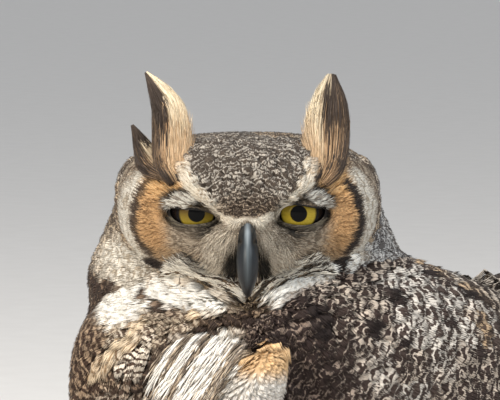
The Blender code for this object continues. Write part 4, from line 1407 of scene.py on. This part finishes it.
def skin_in_front(across, up):
    """Where the skin is met from the front at these places, and its normals there."""
    starts = from_front(across, up, np.full(len(across), 110.0))
    hits = [SKIN.ray_cast(Vector(p), Vector(-FRONT_OUT)) for p in starts]
    met = np.array([h[0] is not None for h in hits])
    return np.array([h[0] for h in hits if h[0]]), np.array([h[1] for h in hits if h[0]]), met


# Long tufts swept along the lower rim of the face: kind, offset below the line, spread, height and count.
SWEPT = (("chin_streak", 4.8, 2.5, 5.6, 2700), ("moustache", 0.5, 0.5, 4.6, 450))


def make_moustache():
    """The swept white edge of the face on both sides of the bill's tip, and the dark streaks under it."""
    coat = Coat()
    line = np.array(MOUSTACHE)[::-1]
    steps = np.hypot(*np.diff(line, axis=0).T)
    run = np.append(0, np.cumsum(steps)) / steps.sum()
    slope = np.gradient(line, run, axis=0)
    for kind, below, spread, height, count in SWEPT:
        share = rng.random(2 * count) * 0.93
        side = np.where(np.arange(2 * count) % 2 == 0, 1.0, -1.0)
        drop = below * ease(share, -0.2, 0.35) + spread * rng.standard_normal(2 * count) * (0.4 + 0.6 * share)
        across = side * np.abs(np.interp(share, run, line[:, 0]) + 0.4 * drop)
        up = np.interp(share, run, line[:, 1]) - 0.9 * drop
        places, normals, met = skin_in_front(across, up)
        n, side, share, drop = len(places), side[met][:, None], share[met], drop[met]
        tangent = unit(np.column_stack([np.interp(share + 0.08, run, slope[:, k]) for k in range(2)]))
        ways = side * RIGHT * tangent[:, :1] + FRONT_UP * tangent[:, 1:] + 0.1 * rng.standard_normal((n, 3))
        look = Look(n, kind)
        streak = noise(np.column_stack([drop / 1.7, share * 2.5, side[:, 0] * 5]), 1.0)
        if kind == "chin_streak":
            look.lay("bill_dark", ease(streak, 0.44, 0.51) * 0.9)
            look.lay("moustache", 1 - ease(streak, 0.33, 0.39))
        else:
            look.lay("bill_dark", ease(streak, 0.58, 0.66) * 0.6)
        strands(coat, places, normals, ways, look, 9.0, (0.0, 0.4, 0.75, 1.0), (0.35 * height, 0.65 * height),
                (0.55, 0.9, 1.0, 0.85), (0.22, 0.16), 0.16)
    finish_piece(coat.piece("moustache", COAT_LOOK), "plumage_pale")


def make_plumes():
    """Long loose white plumes over the bird's flank, some of them brown."""
    places, normals = scatter(((disc(TRI_ACROSS, TRI_UP, *PLUMES) > 0.5) & IN_FRONT) * PLUME_DENSITY)
    n = len(places)
    ways = HANGING + 0.07 * rng.standard_normal((n, 3))
    look = Look(n, "plume")
    across, up, _ = on_front(places).T
    strip = noise(np.outer(across - 0.69 * up, (1.0, 0.0, 0.0)), 2.6)
    look.lay("chin_streak", ease(strip, 0.60, 0.70) * 0.8)
    coat = Coat()
    strands(coat, places, normals, ways, look, 18.0, (0.0, 0.35, 0.7, 1.0), (2.5, 4.5),
            (0.3, 0.85, 1.0, 0.8), (0.34, 0.26), 0.1)
    finish_piece(coat.piece("plumes", COAT_LOOK), "plumage_pale")


def make_bib():
    """Short feathers over the fold under the bill and over the white bib, where the longer ones part."""
    lines = near_line(TRI_ACROSS, TRI_UP, CHIN_FOLD, 5.0), near_line(TRI_ACROSS, TRI_UP, BIB[1], 6.0)
    near = (np.maximum(*lines) > 0.5) & ~IS_HEAD & (TRI_OUT > -10)
    make_plumage("bib_feathers", near, 2.2, 8.5, 3.6, 3.4, 7, "plumage_pale")


# The middle of the body's height behind the shoulders: distance back and height.
BODY_MIDDLE = ((0.110, 0.0635), (0.160, 0.0605), (0.210, 0.056), (0.260, 0.047), (0.310, 0.034))
# How far a face of the skin may look out of a folded wing, or into it, and still be on its rim.
WING_RIM = 0.5


def on_rim():
    """True where the skin faces along a folded wing and not out of it or into it: on its thin rim."""
    x, y, z = TRI_MIDDLE.T
    outward = unit(np.column_stack([x, 0 * x, z - on_line(y, BODY_MIDDLE)]))
    return (y > 0.03) & (np.abs(np.sum(TRI_NORMAL * outward, axis=1)) < WING_RIM)


make_face()
make_moustache()
make_bib()
LEFT_SIDE, BACK = TRI_MIDDLE[:, 0] > 0, TRI_MIDDLE[:, 1]
WING_FRONT_END, WING_REAR_START = 0.005, 0.085
NAPE = IS_NECK | IS_HEAD & ~IS_CROWN & (TRI_OUT <= 6)
IN_FRONT = IS_TRUNK & (TRI_OUT > -48) & (TRI_ACROSS < 75)
# Name, where it grows, spacing, length, width and height in millimetres, and narrow barbs in each feather.
make_plumage("crown", IS_CROWN, 2.9, 8.0, 5.2, 2.6, 7)
make_plumage("neck_front", NAPE & (TRI_OUT > -40), 3.6, 12.0, 7.5, 4.6, 9, "plumage_pale")
make_plumage("nape", NAPE & (TRI_OUT <= -40), 4.6, 14.0, 9.0, 5.0, 9)
make_plumage("breast", IN_FRONT, 3.7, 14.0, 7.0, 5.2, 11)
make_plumage("body_left", IS_TRUNK & LEFT_SIDE & ~IN_FRONT, 5.0, 17.0, 10.5, 5.4, 13)
make_plumage("body_right", IS_TRUNK & ~LEFT_SIDE & ~IN_FRONT, 5.0, 17.0, 10.5, 5.4, 13)
make_plumes()
for word in ("left", "right"):
    wing = (TRI_PART == f"wing_{word}") & ~on_rim()
    front, rear = BACK < WING_FRONT_END, BACK >= WING_REAR_START
    make_plumage(f"shoulder_{word}", wing & front, 4.8, 16.0, 10.5, 3.7, 13, core=0.35)
    make_plumage(f"coverts_{word}", wing & ~front & ~rear, 5.8, 20.0, 13.5, 3.5, 13, core=0.5)
    make_plumage(f"long_coverts_{word}", wing & rear, 6.6, 25.0, 15.0, 2.8, 15, core=0.3)
    make_plumage(f"leg_feathers_{word}", TRI_PART == f"leg_{word}", 2.0, 6.5, 2.6, 2.0, 5, "leg_plumage")
    make_plumage(f"foot_feathers_{word}", TRI_PART == f"foot_{word}", 2.0, 4.6, 2.2, 1.3, 5, "leg_plumage")

# ---------------------------------------------------------------- ear tufts

# The ear tufts from the root to the tip, as in the solids: right, up, forward and half width.
TUFTS = {
    "ear_tuft_left": (
        (0.0430, 0.020, 0.010, 0.0135),
        (0.0435, 0.040, 0.004, 0.0128),
        (0.0450, 0.055, -0.008, 0.0094),
        (0.0460, 0.067, -0.017, 0.0026),
    ),
    "ear_tuft_right": (
        (-0.0410, 0.020, 0.010, 0.0115),
        (-0.0415, 0.038, 0.005, 0.0110),
        (-0.0437, 0.051, -0.003, 0.0092),
        (-0.0500, 0.061, -0.012, 0.0052),
        (-0.0555, 0.068, -0.018, 0.0010),
    ),
    "ear_tuft_right_outer": (
        (-0.0500, 0.016, 0.008, 0.0075),
        (-0.0570, 0.030, 0.002, 0.0058),
        (-0.0630, 0.041, -0.004, 0.0008),
    ),
}
# How deep a tuft is for its width, and how many narrow feathers each one holds.
TUFT_DEPTH = 0.40
TUFT_FEATHERS = {"ear_tuft_left": 8000, "ear_tuft_right": 8000, "ear_tuft_right_outer": 2600}
TUFT_SHARES = np.array((0.0, 0.4, 0.75, 1.0))
# Where the feathers of each tuft start on the face, across and up in millimetres, and their half widths.
TUFT_ROOTS = {
    "ear_tuft_left": ((38.0, 9.0), (42.5, 19.0)),
    "ear_tuft_right": ((37.0, 9.0), (41.0, 19.0)),
    "ear_tuft_right_outer": ((43.0, 13.0), (50.0, 19.0)),
}
TUFT_ROOT_HALF = (0.0060, 0.0105)
# Where the cream inside of each whole tuft starts at its root, from -1 outside to 1 inside.
CREAM_FROM = {"ear_tuft_left": 0.24, "ear_tuft_right": -0.04}


def tuft_look(node, start, end, edge, middle):
    """Black outside and cream inside, tan towards the root, by each feather's start, end and place across."""
    look = Look(len(start), "tuft_black")
    mixed = noise(middle * (1.0, 1.0, 0.6), 0.0035, 2.0)
    warm = 0.3 + 0.7 * ease(edge, -0.6, 0.1)
    look.lay("tuft_tan", 0.8 * warm * ease(mixed, 0.62, 0.74) * (1 - ease(start, 0.5, 0.7)))
    look.lay("tuft_tan", 0.85 * warm * ease(mixed, 0.40, 0.52) * (1 - ease(start, 0.25, 0.42)))
    if node in CREAM_FROM:
        low = CREAM_FROM[node] + 0.45 * start
        pale = ease(edge, low, low + 0.18)
    else:
        pale = ease(edge, -0.1, 0.2) * (1 - ease(start, 0.45, 0.6))
    look.lay("tuft_cream", pale)
    look.lay("tuft_tan", 0.9 * pale * (1 - ease(start, 0.10, 0.50)))
    look.lay("tuft_cream", 0.6 * ease(end, 0.99, 1.01) * ease(edge, 0.1, 0.4) * (node in CREAM_FROM))
    return look


def make_tuft(node, rows, count):
    """Long narrow feathers that rise from the root and close at the tip."""
    inner = -np.sign(rows[0][0])
    roots, _, _ = skin_in_front(*np.array([(-inner * a, u) for a, u in TUFT_ROOTS[node]]).T)
    low_rows = [[*((p - HEAD) @ np.stack([RIGHT, UP, FORWARD]).T), w] for p, w in zip(roots, TUFT_ROOT_HALF)]
    rows = low_rows + [list(row) for row in rows[1:]]
    turn, size = rng.random(count) * 2 * math.pi, np.sqrt(rng.random(count)) * 0.96
    u, v = size * np.cos(turn), size * np.sin(turn)
    start = 0.80 * rng.random(count) ** 1.2
    shares = start[:, None] + (0.18 + 0.20 * rng.random((count, 1))) * TUFT_SHARES
    shares = np.minimum(shares, 1 + 0.03 * rng.random((count, 1)) * TUFT_SHARES)
    right, up, forward, half = smooth_rows(rows, np.clip(shares, 0, 1).ravel()).T.reshape(4, count, -1, 1)
    middle = HEAD + right * RIGHT + up * UP + forward * FORWARD
    axis = unit(middle[:, -1:] - middle[:, :1])
    side = across_skin(np.broadcast_to(RIGHT, axis.shape), axis)
    deep = np.cross(side, axis)
    loose = 0.10 * rng.random(count) + 0.42 * (u * inner > 0.25) * rng.random(count) ** 2
    loose = 1 + loose[:, None, None] * TUFT_SHARES[:, None] ** 2
    spots = middle + side * half * u[:, None, None] * loose + deep * half * TUFT_DEPTH * v[:, None, None]
    spots = spots + axis * np.maximum(shares - 1, 0)[..., None] * 0.02
    ups = unit(side * (u * 0.6)[:, None, None] + deep * v[:, None, None] + 1e-4) * np.ones((1, 4, 1))
    along = np.gradient(spots, axis=1)
    sides = unit(np.cross(along, ups))
    edge = u * inner + 0.25 * v + 0.16 * (rng.random(count) - 0.5)
    look = tinted(tuft_look(node, start, shares[:, -1], edge, spots[:, 1]), 0.12)
    wide = np.outer(0.14 + 0.16 * rng.random(count) ** 2, STRAND_WIDTHS) * MM
    run = run_of(spots) / look.period + rng.random((count, 1))
    coat = Coat()
    coat.add(spots, sides, np.cross(sides, unit(along)), wide, wide * 0.5, 3, look,
             (run, run * 0, rng.random(count) * 20), np.full(count, 0.2), unwrap(spots[:, 0], ups[:, 0]))
    finish_piece(coat.piece(node.replace("ear_", "feathered_"), COAT_LOOK), "plumage_tawny", node)


for node, rows in TUFTS.items():
    make_tuft(node, rows, TUFT_FEATHERS[node])

# ---------------------------------------------------------------- flight feathers and tail

# The long wing feathers and the tail, as in the solids, in metres and degrees round from the back.
FLIGHT_COUNT, FLIGHT_WIDTH = 7, 17.0
FLIGHT_ROOT_Y, FLIGHT_TIP_Y = 0.134, (0.245, 0.318)
FLIGHT_ROOT_ANGLE, FLIGHT_TIP_ANGLE = (30.0, 114.0), (34.0, 66.0)
TAIL_COUNT, TAIL_WIDTH = 9, 21.0
TAIL_ROOT_Y, TAIL_TIP_Y, TAIL_ROOT_HALF, TAIL_SPREAD, TAIL_OUTER_SHORTER = 0.150, 0.345, 0.026, 6.0, 0.05
LONG_STATIONS, SHAFT_WIDTH = 12, 1.3
# Where the rays start that find the solids' surface: out from the body's middle, and over the tail, in metres.
RAY_START, TAIL_RAY_HEIGHT = 0.15, 0.2


def dropped(node, starts, ways):
    """Where rays from these starts first meet a node."""
    tree = tree_of(*mesh_arrays(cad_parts[node].data))
    found = []
    for start, way in zip(starts, ways):
        hit = tree.ray_cast(Vector(start), Vector(way))[0]
        if hit is None:
            hit = tree.find_nearest(Vector(start) + Vector(way) * 0.1)[0]
        found.append(hit)
    return np.array(found)


def make_long_feathers(name, node, kind, starts, ways, stand, width):
    """Long feathers laid over a node along rows of rays, each with its shaft. Sizes in millimetres."""
    n = len(starts)
    places = dropped(node, starts.reshape(-1, 3), ways.reshape(-1, 3)).reshape(starts.shape)
    places[:, 1:-1] = (places[:, :-2] + 2 * places[:, 1:-1] + places[:, 2:]) / 4
    ups = unit(-ways)
    places = places + ups * stand[:, None, None] * MM
    runs = unit(np.gradient(places, axis=1))
    sides = unit(np.cross(runs, ups))
    ups = np.cross(sides, runs)
    coat = Coat()
    vanes(coat, places, ups, sides, width, tinted(Look(n, kind), 0.12))
    vanes(coat, places + ups * 0.5 * MM, ups, sides, SHAFT_WIDTH, Look(n, "shaft"), 0.5)
    finish_piece(coat.piece(name, LONG_LOOK), "flight_feather", node)


def make_flight_feathers(side, word):
    share = (np.arange(FLIGHT_COUNT) + 0.5)[:, None] / FLIGHT_COUNT
    s = np.linspace(0, 1, LONG_STATIONS)[None]
    reach = FLIGHT_TIP_Y[0] + (FLIGHT_TIP_Y[1] - FLIGHT_TIP_Y[0]) * np.sin(share * math.pi / 2)
    y = FLIGHT_ROOT_Y + (reach - FLIGHT_ROOT_Y) * s
    root, tip = (a + (b - a) * share for a, b in (FLIGHT_ROOT_ANGLE, FLIGHT_TIP_ANGLE))
    angle = np.radians(root + (tip - root) * s)
    z = on_line(y, BODY_MIDDLE)
    out = np.stack([side * np.sin(angle), y * 0, np.cos(angle)], axis=-1)
    starts = np.stack([y * 0, y, z], axis=-1) + out * RAY_START
    stand = 0.2 + 0.4 * np.arange(FLIGHT_COUNT)[::-1]
    node = f"flight_feathers_{word}"
    make_long_feathers(f"primaries_{word}", node, "flight", starts, -out, stand, FLIGHT_WIDTH)


def make_tail_feathers():
    across = ((np.arange(TAIL_COUNT) + 0.5) / TAIL_COUNT * 2 - 1)[:, None]
    length = (1 - TAIL_OUTER_SHORTER * across**2) * (TAIL_TIP_Y - TAIL_ROOT_Y)
    along = np.linspace(0, 1, LONG_STATIONS)[None] * length
    x = across * (TAIL_ROOT_HALF - 0.004 + along * math.tan(math.radians(TAIL_SPREAD)))
    starts = np.stack([x, TAIL_ROOT_Y + along, np.full(x.shape, TAIL_RAY_HEIGHT)], axis=-1)
    ways = np.broadcast_to(-Z, starts.shape)
    stand = 0.2 + 0.5 * (TAIL_COUNT // 2 - np.abs(np.arange(TAIL_COUNT) - TAIL_COUNT // 2))
    make_long_feathers("tail_feathers", "tail", "tail", starts, ways, stand, TAIL_WIDTH)


LONG_LOOK = plumage_material("long_feathers")
make_flight_feathers(1, "left")
make_flight_feathers(-1, "right")
make_tail_feathers()

# ---------------------------------------------------------------- camera, floor and light

# The eye's middle line lies this far right of and above the middle of the head in the picture, in metres.
AIM_RIGHT, AIM_UP, AIM_OUT, DISTANCE = 0.0013, 0.0074, 0.040, 3.0
LENS, SENSOR = 400.0, 36.0


def make_camera():
    target = HEAD + FORWARD * AIM_OUT + RIGHT * AIM_RIGHT + FRONT_UP * AIM_UP
    data = bpy.data.cameras.new("camera")
    data.lens = LENS
    data.sensor_width = SENSOR
    data.clip_start, data.clip_end = 0.1, 60.0
    camera = new_object("camera", data)
    turn = Matrix(np.stack([RIGHT, FRONT_UP, FRONT_OUT], axis=1).tolist()).to_4x4()
    camera.matrix_world = Matrix.Translation(Vector(target + FRONT_OUT * DISTANCE)) @ turn
    bpy.context.scene.camera = camera


def area_light(name, place, aim, size, power, colour):
    data = bpy.data.lights.new(name, "AREA")
    data.shape = "DISK"
    data.size = size
    data.energy = power
    data.color = colour
    light = new_object(name, data)
    light.location = place
    light.rotation_euler = (Vector(aim) - Vector(place)).to_track_quat("-Z", "Y").to_euler()


# Lights, placed from the head along its right, up and out to the front: size, power and colour.
LIGHTS = (
    ("overhead", -0.2, 2.0, 0.9, 1.5, 48.0, (1.0, 0.98, 0.95)),
    ("cool_side", 2.2, 0.9, 0.7, 1.2, 15.0, (0.86, 0.93, 1.0)),
    ("warm_side", -1.9, 0.7, 1.4, 1.4, 38.0, (1.0, 0.90, 0.77)),
)


def make_studio():
    bm = bmesh.new()
    bmesh.ops.create_grid(bm, x_segments=1, y_segments=1, size=12.0)
    m = Nodes("floor")
    grain = m.noise(m.node("ShaderNodeTexCoord").outputs["Object"], 40.0, 3.0)
    look = m.shade(m.mix(grain, (0.62, 0.60, 0.57, 1), (0.68, 0.66, 0.63, 1)), Roughness=0.9)
    new_object("floor", mesh_of(bm, "floor"), look)
    world = bpy.data.worlds.new("studio")
    world.use_nodes = True
    background = world.node_tree.nodes["Background"]
    background.inputs["Color"].default_value = (0.90, 0.93, 0.98, 1)
    background.inputs["Strength"].default_value = 0.66
    bpy.context.scene.world = world
    for name, right, up, out, size, power, colour in LIGHTS:
        place = HEAD + RIGHT * right + Z * up + LEVEL * out
        area_light(name, place, HEAD - Z * 0.05, size, power, colour)
    bpy.context.scene.view_settings.view_transform = "Standard"


make_camera()
make_studio()
